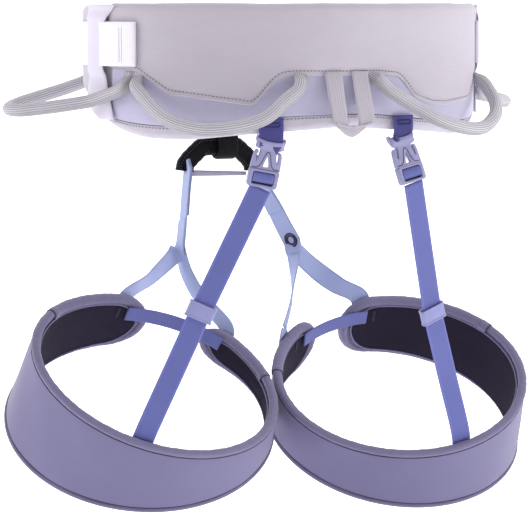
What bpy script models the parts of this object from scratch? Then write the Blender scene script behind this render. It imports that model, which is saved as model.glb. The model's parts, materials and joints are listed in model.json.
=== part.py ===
"""Climbing harness: padded waist belt, two padded leg loops, a front bridge with a belay
loop, rear elastic straps with release buckles, four gear loops and a haul loop.

Frame: origin at the centre of the waist opening, +Z up, +Y to the wearer's front,
+X to the wearer's right. Angles round the waist run from the centre of the back (0),
and are positive towards +X.
"""
import math

import bmesh
import bpy
import numpy as np
from mathutils import Vector

MM = 0.001

# ---------------------------------------------------------------- driving dimensions (mm, deg)
GAP = 0.45                    # clearance between pieces that lie on each other
WAIST_A = 165.0               # half width of the belt's outer face, along X
WAIST_B = 115.0               # half depth of the belt's outer face, along Y
BELT_TOP = 30.0               # height of the belt's top edge above the origin
PAD_END = 128.0               # angle at which the padded part of the belt ends
SHELL_T = 1.4                 # outer panel
LOWER_T = 1.0                 # lower panel, partly under the outer panel
FOAM_T = 7.0                  # waist foam
LINING_T = 1.0                # mesh lining
WEB_W = 34.0                  # waist webbing
WEB_T = 1.7
WEB_START = 62.0              # angle of the webbing's folded, sewn end
BUCKLE_ANGLE = 150.0          # the two front buckles
SLEEVE_FROM = 77.0            # fabric sleeve over the webbing
SLEEVE_TO = 86.0
TUBE_R = 4.8                  # gear loops
HAUL_W = 13.0
HAUL_T = 1.8
STRAP_W = 17.4                # rear elastic straps
STRAP_T = 1.5
TAB_W = 19.0
RISER_W = 16.0
RISER_T = 1.3
BELAY_W = 18.0
BELAY_T = 3.6
LEG_FOAM_T = 6.0
LEG_LINING_T = 0.9
LEG_RATIO = 0.82              # depth of a leg loop over its width
BUCKLE_T = 5.6

# Heights of the belt's edges against the angle from the centre of the back.
PAD_BOTTOM = ((0, -63), (28, -68), (45, -72), (60, -71), (73, -65), (83, -55), (93, -40), (108, -32), (128, -28))
PAD_TOP = ((0, 30), (100, 30), (128, 26))
SHELL_BOTTOM = ((0, -23), (15, -23), (28, -47), (38, -43), (54, -43), (60, -27), (66, -26), (72, -20), (86, -16))
RIM = 9.5                     # pad rim left in view below the lower panel

# Each leg loop is the wall between an upper and a lower ring. A ring is an ellipse of half
# width a, its inner side `clear` from the middle plane, pitched up at the front and rolled.
LEG_A = 104.5
LEG = {
    "left": {
        "upper": dict(clear=3.4, y=0.0, z=-260.0, a=LEG_A, pitch=38.2, roll=11.0),
        "lower": dict(clear=2.6, y=24.0, z=-304.0, a=LEG_A + 4.0, pitch=40.0, roll=-2.5),
        "ends": (-138.0, 191.0),
    },
    "right": {
        "upper": dict(clear=0.8, y=0.0, z=-274.0, a=LEG_A + 1.5, pitch=37.9, roll=-6.5),
        "lower": dict(clear=2.0, y=24.0, z=-322.0, a=LEG_A + 5.0, pitch=37.9, roll=-0.1),
        "ends": (-152.0, 189.0),
    },
}
SIGN = {"left": -1.0, "right": 1.0}
TAB_ANGLE = {"left": 21.0, "right": 18.5}
BUCKLE_L = 34.8                # top bar to foot
BUCKLE_LEAN = {"left": (-0.153, 0.182, -0.970), "right": (0.233, -0.175, -0.955)}
BUCKLE_FACE = {"left": 21.0, "right": 6.0}   # angle round the waist that the buckle faces
STRAP_FOOT = {"left": (22.0, 0.20), "right": (12.0, 0.20)}     # angle on the loop, part of its height
KEEPER_BOW = {"left": (-1.5, 0.5, 0.0), "right": (-5.0, 0.0, 0.0)}
BRIDGE_R = 6.0                 # sleeved bridge between the leg loops
BRIDGE_HALF = 30.0

COLOURS = {
    "shell": (0.57, 0.53, 0.60),
    "panel": (0.45, 0.44, 0.58),
    "pad": (0.72, 0.69, 0.75),
    "mesh": (0.06, 0.05, 0.08),
    "white_web": (0.82, 0.79, 0.86),
    "tube": (0.48, 0.45, 0.55),
    "haul": (0.50, 0.47, 0.53),
    "elastic": (0.17, 0.18, 0.42),
    "riser": (0.44, 0.50, 0.76),
    "buckle": (0.34, 0.33, 0.52),
    "metal": (0.62, 0.63, 0.65),
    "leg": (0.36, 0.34, 0.53),
    "black": (0.022, 0.018, 0.032),
}


# ---------------------------------------------------------------- scene and materials
for old in list(bpy.data.objects):
    bpy.data.objects.remove(old, do_unlink=True)

scene = bpy.context.scene
scene.unit_settings.scale_length = 1.0
parts = bpy.data.collections.new("climbing_harness")
cutters = bpy.data.collections.new("cutters")
scene.collection.children.link(parts)
scene.collection.children.link(cutters)


def own_material(name, colour, metallic=0.0, rough=0.75):
    """One Principled material for one piece."""
    mat = bpy.data.materials.new(name)
    mat.use_nodes = True
    shader = mat.node_tree.nodes["Principled BSDF"]
    shader.inputs["Base Color"].default_value = (*COLOURS[colour], 1.0)
    shader.inputs["Metallic"].default_value = metallic
    shader.inputs["Roughness"].default_value = rough
    return mat


def add(name, data, colour, metallic=0.0, rough=0.75):
    """Links a piece into the harness."""
    obj = bpy.data.objects.new(name, data)
    parts.objects.link(obj)
    data.materials.append(own_material(name, colour, metallic, rough))
    return obj


def set_origin(obj, point):
    """Moves the object's origin to a point (mm) on its joint's axis; the shape stays."""
    shift = Vector(point) * MM
    if obj.type == "MESH":
        for vertex in obj.data.vertices:
            vertex.co -= shift
    else:
        for spline in obj.data.splines:
            for p in spline.points:
                p.co = (p.co[0] - shift[0], p.co[1] - shift[1], p.co[2] - shift[2], 1.0)
    obj.location = shift


# ---------------------------------------------------------------- shape helpers
def along(table, x):
    """Straight-line reading of a table of (position, value)."""
    return float(np.interp(x, [p[0] for p in table], [p[1] for p in table]))


def curve_through(points, count):
    """Evenly numbered points on a smooth curve through the given ones (Catmull-Rom)."""
    pts = [np.array(p, float) for p in points]
    pts = [2 * pts[0] - pts[1]] + pts + [2 * pts[-1] - pts[-2]]
    spans = len(pts) - 3
    out = []
    for i in range(count):
        u = spans * i / (count - 1)
        k = min(int(u), spans - 1)
        t = u - k
        a, b, c, d = pts[k:k + 4]
        out.append(0.5 * (2 * b + (c - a) * t + (2 * a - 5 * b + 4 * c - d) * t ** 2
                          + (3 * b - a - 3 * c + d) * t ** 3))
    return out


def unit(v):
    return np.array(v, float) / np.linalg.norm(v)


def sheet(name, nu, nv, place, thickness, colour, bevel=0.0, rough=0.75):
    """Panel: a grid laid out by place(u, v) in mm as its middle face, then thickened."""
    bm = bmesh.new()
    bmesh.ops.create_grid(bm, x_segments=nu, y_segments=nv, size=0.5)
    for vertex in bm.verts:
        u = vertex.co.x + 0.5
        v = vertex.co.y + 0.5
        vertex.co = Vector(place(u, v)) * MM
    mesh = bpy.data.meshes.new(name)
    bm.to_mesh(mesh)
    bm.free()
    obj = add(name, mesh, colour, rough=rough)
    solid = obj.modifiers.new("thickness", "SOLIDIFY")
    solid.thickness = thickness * MM
    solid.offset = 0.0
    solid.use_even_offset = True
    if bevel:
        rounding = obj.modifiers.new("soft edge", "BEVEL")
        rounding.width = bevel * MM
        rounding.segments = 2
        rounding.limit_method = "ANGLE"
        rounding.angle_limit = math.radians(50)
    return obj


def ribbon(name, path, across, width, thickness, colour, rough=0.75):
    """Webbing: middle line path[i] (mm), width direction across[i]; width may be a list."""
    widths = width if isinstance(width, (list, tuple)) else [width] * len(path)
    last = len(path) - 1

    def place(u, v):
        i = int(round(u * last))
        return np.array(path[i]) + unit(across[i]) * widths[i] * (v - 0.5)

    return sheet(name, last, 1, place, thickness, colour, rough=rough)


def ring_ribbon(name, path, across, width, thickness, colour):
    """Closed band of webbing: a cylinder's wall laid on a closed path, then thickened."""
    count = len(path)
    bm = bmesh.new()
    bmesh.ops.create_cone(bm, cap_ends=False, segments=count, radius1=1.0, radius2=1.0, depth=1.0)
    for vertex in bm.verts:
        turn = math.atan2(vertex.co.x, vertex.co.y) / math.tau
        i = int(round(turn * count)) % count
        vertex.co = Vector(np.array(path[i]) + unit(across) * width * vertex.co.z) * MM
    bmesh.ops.recalc_face_normals(bm, faces=bm.faces)
    mesh = bpy.data.meshes.new(name)
    bm.to_mesh(mesh)
    bm.free()
    obj = add(name, mesh, colour)
    solid = obj.modifiers.new("thickness", "SOLIDIFY")
    solid.thickness = thickness * MM
    solid.offset = 0.0
    solid.use_even_offset = True
    return obj


def tube(name, path, radius, colour, rough=0.7, flatten=None):
    """Round cord or moulded tube with filled ends."""
    data = bpy.data.curves.new(name, "CURVE")
    data.dimensions = "3D"
    data.bevel_depth = radius * MM
    data.bevel_resolution = 2
    data.use_fill_caps = True
    data.resolution_u = 1
    spline = data.splines.new("POLY")
    spline.points.add(len(path) - 1)
    for p, at in zip(spline.points, path):
        p.co = (at[0] * MM, at[1] * MM, at[2] * MM, 1.0)
    return add(name, data, colour, rough=rough)


def plate(name, outline, thickness, holes, frame, colour, collection=None, metallic=0.0, rough=0.4):
    """Flat moulded or stamped plate. outline and holes are (x, y) lists in mm in the plane
    of frame = (origin, x direction, y direction); holes are cut by Booleans."""
    origin, ex, ey = np.array(frame[0], float), unit(frame[1]), unit(frame[2])
    ez = np.cross(ex, ey)

    def prism(points, depth):
        bm = bmesh.new()
        low = [bm.verts.new(Vector(origin + ex * x + ey * y - ez * depth / 2) * MM) for x, y in points]
        face = bm.faces.new(low)
        made = bmesh.ops.extrude_face_region(bm, geom=[face])
        top = [g for g in made["geom"] if isinstance(g, bmesh.types.BMVert)]
        bmesh.ops.translate(bm, verts=top, vec=Vector(ez * depth) * MM)
        bmesh.ops.recalc_face_normals(bm, faces=bm.faces)
        mesh = bpy.data.meshes.new(name)
        bm.to_mesh(mesh)
        bm.free()
        return mesh

    obj = add(name, prism(outline, thickness), colour, metallic, rough)
    for number, hole in enumerate(holes):
        cutter = bpy.data.objects.new(f"{name}_cut_{number}", prism(hole, thickness * 3))
        cutters.objects.link(cutter)
        cutter.hide_render = True
        cutter.display_type = "WIRE"
        cut = obj.modifiers.new(f"opening {number}", "BOOLEAN")
        cut.operation = "DIFFERENCE"
        cut.solver = "EXACT"
        cut.object = cutter
    return obj


def box_outline(w, h, x=0.0, y=0.0, corner=0.0):
    """Rectangle with cut corners, centred on (x, y)."""
    a, b, c = w / 2, h / 2, corner
    if not c:
        return [(x - a, y - b), (x + a, y - b), (x + a, y + b), (x - a, y + b)]
    return [(x - a + c, y - b), (x + a - c, y - b), (x + a, y - b + c), (x + a, y + b - c),
            (x + a - c, y + b), (x - a + c, y + b), (x - a, y + b - c), (x - a, y - b + c)]


# ---------------------------------------------------------------- the waist's curve
def waist_normal(angle):
    t = math.radians(angle)
    return unit((math.sin(t) * WAIST_B, -math.cos(t) * WAIST_A, 0.0))


def waist(angle, offset, z):
    """Point at an angle round the waist, offset out from the belt's outer face."""
    t = math.radians(angle)
    base = np.array((WAIST_A * math.sin(t), -WAIST_B * math.cos(t), z))
    return base + waist_normal(angle) * offset


def waist_tangent(angle):
    n = waist_normal(angle)
    return np.array((-n[1], n[0], 0.0))


UP = (0.0, 0.0, 1.0)
LOWER_OUT = -(SHELL_T + GAP)
FOAM_OUT = LOWER_OUT - LOWER_T - GAP
LINING_OUT = FOAM_OUT - FOAM_T - GAP


def side_shift(angle):
    """Beyond the two outer panels the padding comes forward to lie under the webbing."""
    t = max(0.0, min(1.0, (angle - SLEEVE_FROM + 1.5) / 9.0))
    return 2.9 * t * t * (3 - 2 * t)


def pad_place(offset, inset_low, inset_high):
    def place(u, v):
        angle = (2 * u - 1) * PAD_END
        end = max(0.0, (abs(angle) - PAD_END + 9.0) / 9.0)
        low = along(PAD_BOTTOM, abs(angle)) + inset_low + 9.0 * end ** 2
        high = along(PAD_TOP, abs(angle)) - inset_high - 9.0 * end ** 2
        return waist(angle, offset + side_shift(abs(angle)), low + (high - low) * v)
    return place


sheet("waist_foam", 48, 2, pad_place(FOAM_OUT - FOAM_T / 2, 0.0, 0.0), FOAM_T, "pad", bevel=2.2)
sheet("waist_lining", 48, 1, pad_place(LINING_OUT - LINING_T / 2, 3.0, 3.0), LINING_T, "mesh")


def shell_place(u, v):
    angle = (2 * u - 1) * (SLEEVE_FROM - 2.0)
    low = along(SHELL_BOTTOM, abs(angle))
    return waist(angle, -SHELL_T / 2, low + (BELT_TOP - low) * v)


def lower_place(u, v):
    angle = (2 * u - 1) * (SLEEVE_FROM - 3.0)
    low = along(PAD_BOTTOM, abs(angle)) + RIM
    high = along(SHELL_BOTTOM, abs(angle)) + 7.0
    return waist(angle, LOWER_OUT - LOWER_T / 2, low + (high - low) * v)


sheet("waist_outer_panel", 44, 1, shell_place, SHELL_T, "shell")
sheet("waist_lower_panel", 40, 1, lower_place, LOWER_T, "panel")

# Waist webbing from its folded end, under the sleeve, to the bar of the front buckle.
WEB_OFF = GAP + WEB_T / 2
for side, s in SIGN.items():
    stations = [s * (WEB_START + (BUCKLE_ANGLE - 9.0 - WEB_START) * i / 14) for i in range(15)]
    path = [waist(a, WEB_OFF, 0.5) for a in stations]
    ribbon(f"waist_webbing_{side}", path, [UP] * 15, WEB_W, WEB_T, "white_web")

    def sleeve_place(u, v, s=s):
        angle = s * (SLEEVE_FROM + (SLEEVE_TO - SLEEVE_FROM) * u)
        low = along(PAD_BOTTOM, abs(angle)) + 2.0
        z = low + (BELT_TOP - low) * v
        lift = max(0.0, min(1.0, (WEB_W / 2 + 12.0 - abs(z)) / 5.0))
        return waist(angle, GAP + 0.5 + lift * (WEB_T + GAP), z)

    sheet(f"side_sleeve_{side}", 6, 10, sleeve_place, 1.0, "white_web")

# ---------------------------------------------------------------- front buckles and tie-in
# Each buckle is a frame with a middle bar; a loose frame slides on the doubled webbing.
FRAME_W = 44.0
FRAME_H = WEB_W + 12.0
BAR_IN = 9.0
for side, s in SIGN.items():
    at = waist(s * BUCKLE_ANGLE, 0.5 + 1.5, 0.5)
    ex = waist_tangent(s * BUCKLE_ANGLE)
    slot = (FRAME_W - 3 * 6.0) / 2
    holes = [box_outline(slot, WEB_W + 4, x=sx * (slot / 2 + 3.0)) for sx in (-1, 1)]
    plate(f"waist_buckle_frame_{side}", box_outline(FRAME_W, FRAME_H, corner=5.0), 3.0, holes,
          (at, ex, UP), "metal", metallic=1.0)
    lift = waist_normal(s * BUCKLE_ANGLE) * (1.5 + GAP + WEB_T + GAP + 1.2)
    slider = plate(f"waist_buckle_slider_{side}", box_outline(25.0, WEB_W + 8.0, corner=4.0), 2.4,
                   [box_outline(13.0, WEB_W + 1.0)], (at + lift, ex, UP), "metal", metallic=1.0)
    set_origin(slider, at + lift)

# Front webbing between the two buckles, with the belay loop's upper anchor sewn under it.
front = [BUCKLE_ANGLE + 9.0 + (360.0 - 2 * (BUCKLE_ANGLE + 9.0)) * i / 8 for i in range(9)]
ribbon("tie_in_webbing", [waist(a, WEB_OFF, 0.5) for a in front], [UP] * 9, WEB_W, WEB_T, "white_web")

# Upper anchor: a sleeved U hanging from the front webbing; the belay loop runs round it.
FRONT_Y = WAIST_B + 1.0
LOOP_TOP = -WEB_W / 2 - 14.0
anchor = curve_through(((-31, FRONT_Y, LOOP_TOP + 9), (-27, FRONT_Y, LOOP_TOP + 5), (-14, FRONT_Y, LOOP_TOP),
                        (14, FRONT_Y, LOOP_TOP), (27, FRONT_Y, LOOP_TOP + 5), (31, FRONT_Y, LOOP_TOP + 9)), 11)
tube("tie_in_sleeve_upper", anchor, 4.0, "black")

# Lower anchor: the leg loops' bridge, a sleeved arch, closed underneath by a thin strap.
BRIDGE_X = -5.0
BRIDGE_Z = -89.0
arch = curve_through([(BRIDGE_X + x * BRIDGE_HALF, FRONT_Y, BRIDGE_Z - fall) for x, fall in (
    (-1, 17), (-0.9, 9), (-0.57, 0), (0.57, 0), (0.9, 9), (1, 17))], 13)
bridge = tube("bridge_sleeve", arch, BRIDGE_R, "black")
strap = [(BRIDGE_X + (i / 2 - 1) * (BRIDGE_HALF - 5), FRONT_Y, BRIDGE_Z - 22 - 0.4 * i) for i in range(5)]
bridge_strap = ribbon("bridge_strap", strap, [UP] * 5, 4.5, 2.0, "haul")

# Belay loop: a closed band round both anchors, its straight front face towards +Y.
LOOP_R = BRIDGE_R + GAP + 0.8 + BELAY_T / 2
loop_path = []
for i in range(9):
    t = math.pi * i / 8
    loop_path.append((0.0, FRONT_Y + LOOP_R * math.cos(t), LOOP_TOP + LOOP_R * math.sin(t)))
for i in range(9):
    t = math.pi + math.pi * i / 8
    loop_path.append((0.0, FRONT_Y + LOOP_R * math.cos(t), BRIDGE_Z + LOOP_R * math.sin(t)))
belay = ring_ribbon("belay_loop", loop_path, (1, 0, 0), BELAY_W, BELAY_T, "black")
ANCHOR_AXIS = (0.0, FRONT_Y, LOOP_TOP)
for obj in (belay, bridge, bridge_strap):
    set_origin(obj, ANCHOR_AXIS)


# ---------------------------------------------------------------- leg loops
def ring_point(ring, angle, side):
    """Point of a leg loop's upper or lower ring (mm); angle in degrees about its centre."""
    t = math.radians(angle)
    x, y = ring["a"] * math.sin(t), -LEG_RATIO * ring["a"] * math.cos(t)
    roll, pitch = math.radians(ring["roll"]), math.radians(ring["pitch"])
    x, z = x * math.cos(roll), -x * math.sin(roll)
    y, z = y * math.cos(pitch) - z * math.sin(pitch), y * math.sin(pitch) + z * math.cos(pitch)
    centre = SIGN[side] * (ring["clear"] + LEG_FOAM_T / 2 + ring["a"] * math.cos(roll))
    return np.array((x + centre, y + ring["y"], z + ring["z"]))


def wall(side, angle, v, offset=0.0):
    """Point on a leg loop. angle: 0 at the back, positive to the outer side; v: 0 at the
    upper edge, 1 at the lower; offset: out from the middle of the padding."""
    s = SIGN[side]
    rings = LEG[side]
    top = rings["upper"]
    upper, lower = ring_point(top, s * angle, side), ring_point(rings["lower"], s * angle, side)
    step = ring_point(top, s * angle + 1.0, side) - ring_point(top, s * angle - 1.0, side)
    out = unit(np.cross(step, lower - upper)) * -1.0
    return upper + (lower - upper) * v + out * offset


LEG_AXIS = {side: (BRIDGE_X + s * (BRIDGE_HALF + 1.0), FRONT_Y, BRIDGE_Z - 17) for side, s in SIGN.items()}
for side, s in SIGN.items():
    inner_end, outer_end = LEG[side]["ends"]

    def leg_place(u, v, side=side, a0=inner_end, a1=outer_end, offset=0.0, inset=0.0):
        angle = a0 + (a1 - a0) * u
        end = max(0.0, 1.0 - min(angle - a0, a1 - angle) / 16.0)
        low, high = inset + 0.22 * end ** 2, 1.0 - inset - 0.30 * end ** 2
        return wall(side, angle, low + (high - low) * v, offset)

    def lining_place(u, v, place=leg_place, a0=inner_end, a1=outer_end):
        return place(u, v, a0=a0 + 2.5, a1=a1 - 2.5, inset=0.05,
                     offset=-(LEG_FOAM_T + LEG_LINING_T) / 2 - GAP - 0.25)

    pad = sheet(f"leg_foam_{side}", 40, 2, leg_place, LEG_FOAM_T, "leg", bevel=1.8)
    lining = sheet(f"leg_lining_{side}", 34, 1, lining_place, LEG_LINING_T, "mesh")

    # Elastic across the front gap, on the inside of the two padded ends.
    span = [outer_end - 10.0 - (outer_end - 360.0 - inner_end - 20.0) * i / 6 for i in range(7)]
    depth = -(LEG_FOAM_T / 2 + LEG_LINING_T + STRAP_T / 2 + 2 * GAP + 0.8)
    path = [wall(side, a, 0.26, depth) for a in span]
    across = [wall(side, a, 0.8) - wall(side, a, 0.2) for a in span]
    elastic = ribbon(f"leg_elastic_{side}", path, across, 13.0, STRAP_T, "elastic")
    for obj in (pad, lining, elastic):
        set_origin(obj, LEG_AXIS[side])

# Risers: one webbing from each end of the bridge that forks to both ends of a leg loop.
OUTSIDE = LEG_FOAM_T / 2 + RISER_T / 2 + 1.0
# Steps from the end of the bridge down the stem, and from the stem's foot to the forks.
STEM = {
    "left": ((-1, -6.5, -7), (-3.5, -9, -20), (-8.5, -15, -50), (-11.5, -18.5, -64)),
    "right": ((1, -6, -6), (6.5, -8, -18), (13.5, -11.5, -32), (22.5, -16, -52), (29.5, -19, -66)),
}
FORK_GAP = RISER_W / 2 - 2.0
OUTER_BOW = {"left": (0.0, 3.0, -4.0), "right": (0.0, 3.0, -3.0)}
INNER_BOW = {"left": (-4.0, 13.0, 0.0), "right": (6.0, 4.0, -2.0)}
STEM_FACE = {"left": (0.05, 1.0, 0.0), "right": (-0.42, 0.9, 0.0)}   # width direction


def bowed(start, end, bow, count):
    """Points from start towards end (not reached), pushed out by bow in the middle."""
    start, end, bow = np.array(start, float), np.array(end, float), np.array(bow, float)
    shares = [i / count for i in range(count)]
    return [tuple(start + (end - start) * t + bow * 4 * t * (1 - t)) for t in shares]


def lie_on_wall(side, angle, v, path, count, start):
    """Width directions of a webbing that leaves with `start` and ends flat on a leg loop."""
    normal = unit(wall(side, angle, v, 1.0) - wall(side, angle, v))
    out = []
    for i in range(count):
        k = min(i, count - 2)
        run = unit(path[k + 1] - path[k])
        flat = unit(np.cross(normal, run))
        if np.dot(flat, start) < 0:
            flat = -flat
        share = min(1.0, i / (count - 3))
        out.append(unit(unit(start) * (1 - share) + flat * share))
    return out


for side, s in SIGN.items():
    inner_end, outer_end = LEG[side]["ends"]
    out_at, in_at = outer_end - 10.0, inner_end + (9.0 if side == "left" else 20.0)
    side_face = STEM_FACE[side]
    stem = curve_through([tuple(np.array(LEG_AXIS[side]) + step) for step in STEM[side]], 7)
    base = np.array(stem[-1])
    lead, foot = wall(side, out_at + 2.0, 0.02, OUTSIDE + 2.0), wall(side, out_at, 0.42, OUTSIDE)
    away = base + (s * FORK_GAP, 1.2, -8.0)
    outer = curve_through(bowed(away, lead, OUTER_BOW[side], 3) + [tuple(lead), tuple(foot)], 9)
    lead, foot = wall(side, in_at - 1.0, -0.10, OUTSIDE + 2.0), wall(side, in_at, 0.36, OUTSIDE)
    inner = curve_through(bowed(base + (0.0, -3.0, -4.5), lead, INNER_BOW[side], 3) + [tuple(lead), tuple(foot)], 8)
    ribbon(f"riser_{side}_stem", stem, [side_face] * 7, RISER_W, RISER_T, "riser")
    ribbon(f"riser_{side}_outer", outer, lie_on_wall(side, out_at, 0.3, outer, 9, (s * 0.5, 0.30, 0.84)),
           RISER_W - 1.5, RISER_T, "riser")
    ribbon(f"riser_{side}_inner", inner, lie_on_wall(side, in_at, 0.2, inner, 8, side_face),
           RISER_W - 3.0, RISER_T, "riser")

# ---------------------------------------------------------------- rear straps and buckles
for side, s in SIGN.items():
    tab = s * TAB_ANGLE[side]
    out = waist_normal(tab)
    tangent = waist_tangent(tab)
    edge = along(PAD_BOTTOM, abs(tab))
    head = waist(tab, -3.0, edge - 7.0)
    down = unit(BUCKLE_LEAN[side])
    foot = head + down * BUCKLE_L
    level = waist_tangent(s * BUCKLE_FACE[side])
    ex = unit(level - down * np.dot(level, down))
    facing = np.cross(ex, down)
    if np.dot(facing, out) < 0:
        facing = -facing

    # Tab: sewn over the pad's lower edge and folded round the buckle's top bar.
    bar = head
    tab_path = [waist(tab, LOWER_OUT + 2.4, edge + RIM + 2.5), waist(tab, LOWER_OUT + 2.4, edge + 2)]
    turn_r = 4.25
    for i in range(6):
        t = math.radians(-10 + 200 * i / 5)
        tab_path.append(bar + facing * turn_r * math.cos(t) + down * turn_r * math.sin(t))
    tab_path.append(bar - facing * turn_r - down * 2.5)
    ribbon(f"rear_tab_{side}", tab_path, [tangent] * 2 + [ex] * 7, TAB_W, 1.3, "elastic")

    # Buckle, upper half (fixed): top bar with horns, side arms and a middle guide.
    frame = (head, ex, -down)
    seam = -20.5
    w = max(TAB_W, STRAP_W + 1.6) / 2 + 0.6
    upper_line = [(-w - 0.3, 1.7), (-w - 1.3, 4.4), (-w - 2.6, 3.0), (-w - 2.2, -5.5), (-w - 0.4, -9.0),
                  (-w - 1.4, -12.0), (-w - 1.4, seam)]
    upper_line += [(-x, y) for x, y in reversed(upper_line)]
    slot = box_outline(2 * w - 0.4, 4.8, y=-4.6)
    guide = [(-3.2, seam + 2.2), (3.2, seam + 2.2), (0.9, seam + 10.5), (-0.9, seam + 10.5)]
    ears = [[(sx * (w - 0.8), -11.0), (sx * (w - 3.4), -17.5), (sx * (w - 0.6), -17.5)] for sx in (-1, 1)]
    plate(f"rear_buckle_upper_{side}", upper_line, BUCKLE_T - 1.6, [slot, guide] + ears, frame, "buckle")

    # Buckle, lower half (slides off along the strap): ladder-lock frame.
    low_line = [(-w - 2, seam - GAP), (-w - 2, -BUCKLE_L + 2), (-w - 0.2, -BUCKLE_L)]
    low_line += [(-x, y) for x, y in reversed(low_line)]
    window = box_outline(2 * w - 1.2, 8.2, y=-BUCKLE_L + 7.3)
    lower_half = plate(f"rear_buckle_lower_{side}", low_line, BUCKLE_T, [window], frame, "buckle")
    set_origin(lower_half, foot)

    # Elastic strap from the buckle down to the inside of the leg loop's back edge.
    angle, depth = STRAP_FOOT[side]
    inside = -(LEG_FOAM_T / 2 + LEG_LINING_T + STRAP_T / 2 + 2 * GAP + 1.3)
    strap_end = wall(side, angle, depth, inside)
    lead = wall(side, angle, -0.10, inside + 1.0)
    start = foot + down * 3.0
    keeper_at = (start + lead) / 2 + np.array(KEEPER_BOW[side])
    line = [start + (keeper_at - start) * i / 6 for i in range(6)]
    line += [keeper_at + (lead - keeper_at) * i / 6 for i in range(7)] + [strap_end]
    at_foot = wall(side, angle + s, 0.0) - wall(side, angle - s, 0.0)
    flat = []
    for i in range(len(line)):
        k = min(i, len(line) - 2)
        run = unit(line[k + 1] - line[k])
        share = min(1.0, i / 12)
        wide = unit(ex) * (1 - share) + unit(at_foot) * share
        flat.append(unit(wide - run * np.dot(wide, run)))
    ribbon(f"rear_strap_{side}", line, flat, STRAP_W, STRAP_T, "elastic")

    # Keeper: a flat closed band round the strap.
    mid = np.array(line[6])
    run = unit(np.array(line[7]) - np.array(line[5]))
    kx = flat[6]
    run = unit(run - kx * np.dot(run, kx))
    kn = np.cross(kx, run)
    half_w, half_t = STRAP_W / 2 + 1.9, STRAP_T / 2 + 1.6
    profile = [(-1, -1), (-0.5, -1), (0, -1), (0.5, -1), (1, -1), (1, 0), (1, 1), (0.5, 1), (0, 1), (-0.5, 1),
               (-1, 1), (-1, 0)]
    keeper = ring_ribbon(f"rear_strap_keeper_{side}",
                         [mid + kx * half_w * x + kn * half_t * y for x, y in profile], run, 10.0, 1.2, "buckle")
    set_origin(keeper, mid)

# ---------------------------------------------------------------- gear loops and haul loop
# Routes as (angle, clear space between belt and tube, height).
REAR_LOOP = {
    "left": ((12.4, 0.6, -28), (14, 3, -33), (17.9, 7, -41), (22.3, 13, -52), (27, 16, -58), (33.3, 19, -61.5),
             (40, 19, -62), (47.4, 17, -57), (53, 12, -48.5), (57.4, 7, -39), (61, 3, -33)),
    "right": ((9.5, 0.6, -28), (12.1, 3, -35.5), (18.7, 10, -48), (25, 17, -58.5), (33.4, 21, -65),
              (41, 23, -65.5), (49, 22, -57), (55.5, 16, -47), (60, 8, -37.5), (62.5, 3, -32)),
}
FRONT_LOOP = ((65.9, 1.2, -33), (72.0, 1.2, -38), (79.7, 5.4, -43), (86.1, 18.9, -46.5), (91.7, 34.5, -49.5),
              (95.1, 47.5, -51), (98.7, 53.7, -50), (102.8, 45, -46.5), (107.4, 33.3, -43), (113.7, 17.7, -38),
              (118.4, 13.0, -35), (121.4, 10.8, -33))
for side, s in SIGN.items():
    path = curve_through([tuple(waist(s * a, TUBE_R + off, z)) for a, off, z in REAR_LOOP[side]], 21)
    rear = tube(f"gear_loop_rear_{side}", path, TUBE_R, "tube")
    set_origin(rear, path[0])
    path = curve_through([tuple(waist(s * a, TUBE_R + off, z)) for a, off, z in FRONT_LOOP], 23)
    loop = tube(f"gear_loop_front_{side}", path, TUBE_R - 0.2, "tube")
    set_origin(loop, path[0])

# Haul loop: a flat ribbon that hangs as a V with folded corners at its foot.
haul = curve_through([tuple(waist(a, off, z)) for a, off, z in (
    (-4.6, 3.2, -25), (-4.4, 6.5, -40), (-3.6, 9.5, -52), (-1.8, 11.0, -60.0), (0.4, 11.5, -64.0),
    (2.6, 11.0, -60.0), (4.6, 9.5, -52), (5.0, 6.5, -40), (4.8, 3.2, -25))], 17)
wide = []
for i in range(17):
    lean = (i - 8) / 8
    turn = math.exp(-(lean * 3.4) ** 2)
    side_way = unit(waist_tangent(0.0) * (1 - turn) + np.array(UP) * turn * 0.9)
    wide.append(side_way if i <= 8 else unit(waist_tangent(0.0) * (1 - turn) - np.array(UP) * turn * 0.9))
haul_obj = ribbon("haul_loop", haul, wide, HAUL_W, HAUL_T, "haul")
set_origin(haul_obj, waist(0.0, 3.2, -25))
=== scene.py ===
"""Looks of the climbing harness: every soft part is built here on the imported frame.

Lengths in the shape tables are millimetres in the frame's axes (origin at the centre of the
waist opening, +Z up, +Y to the wearer's front, +X to the wearer's right).
"""
import json
import math

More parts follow.
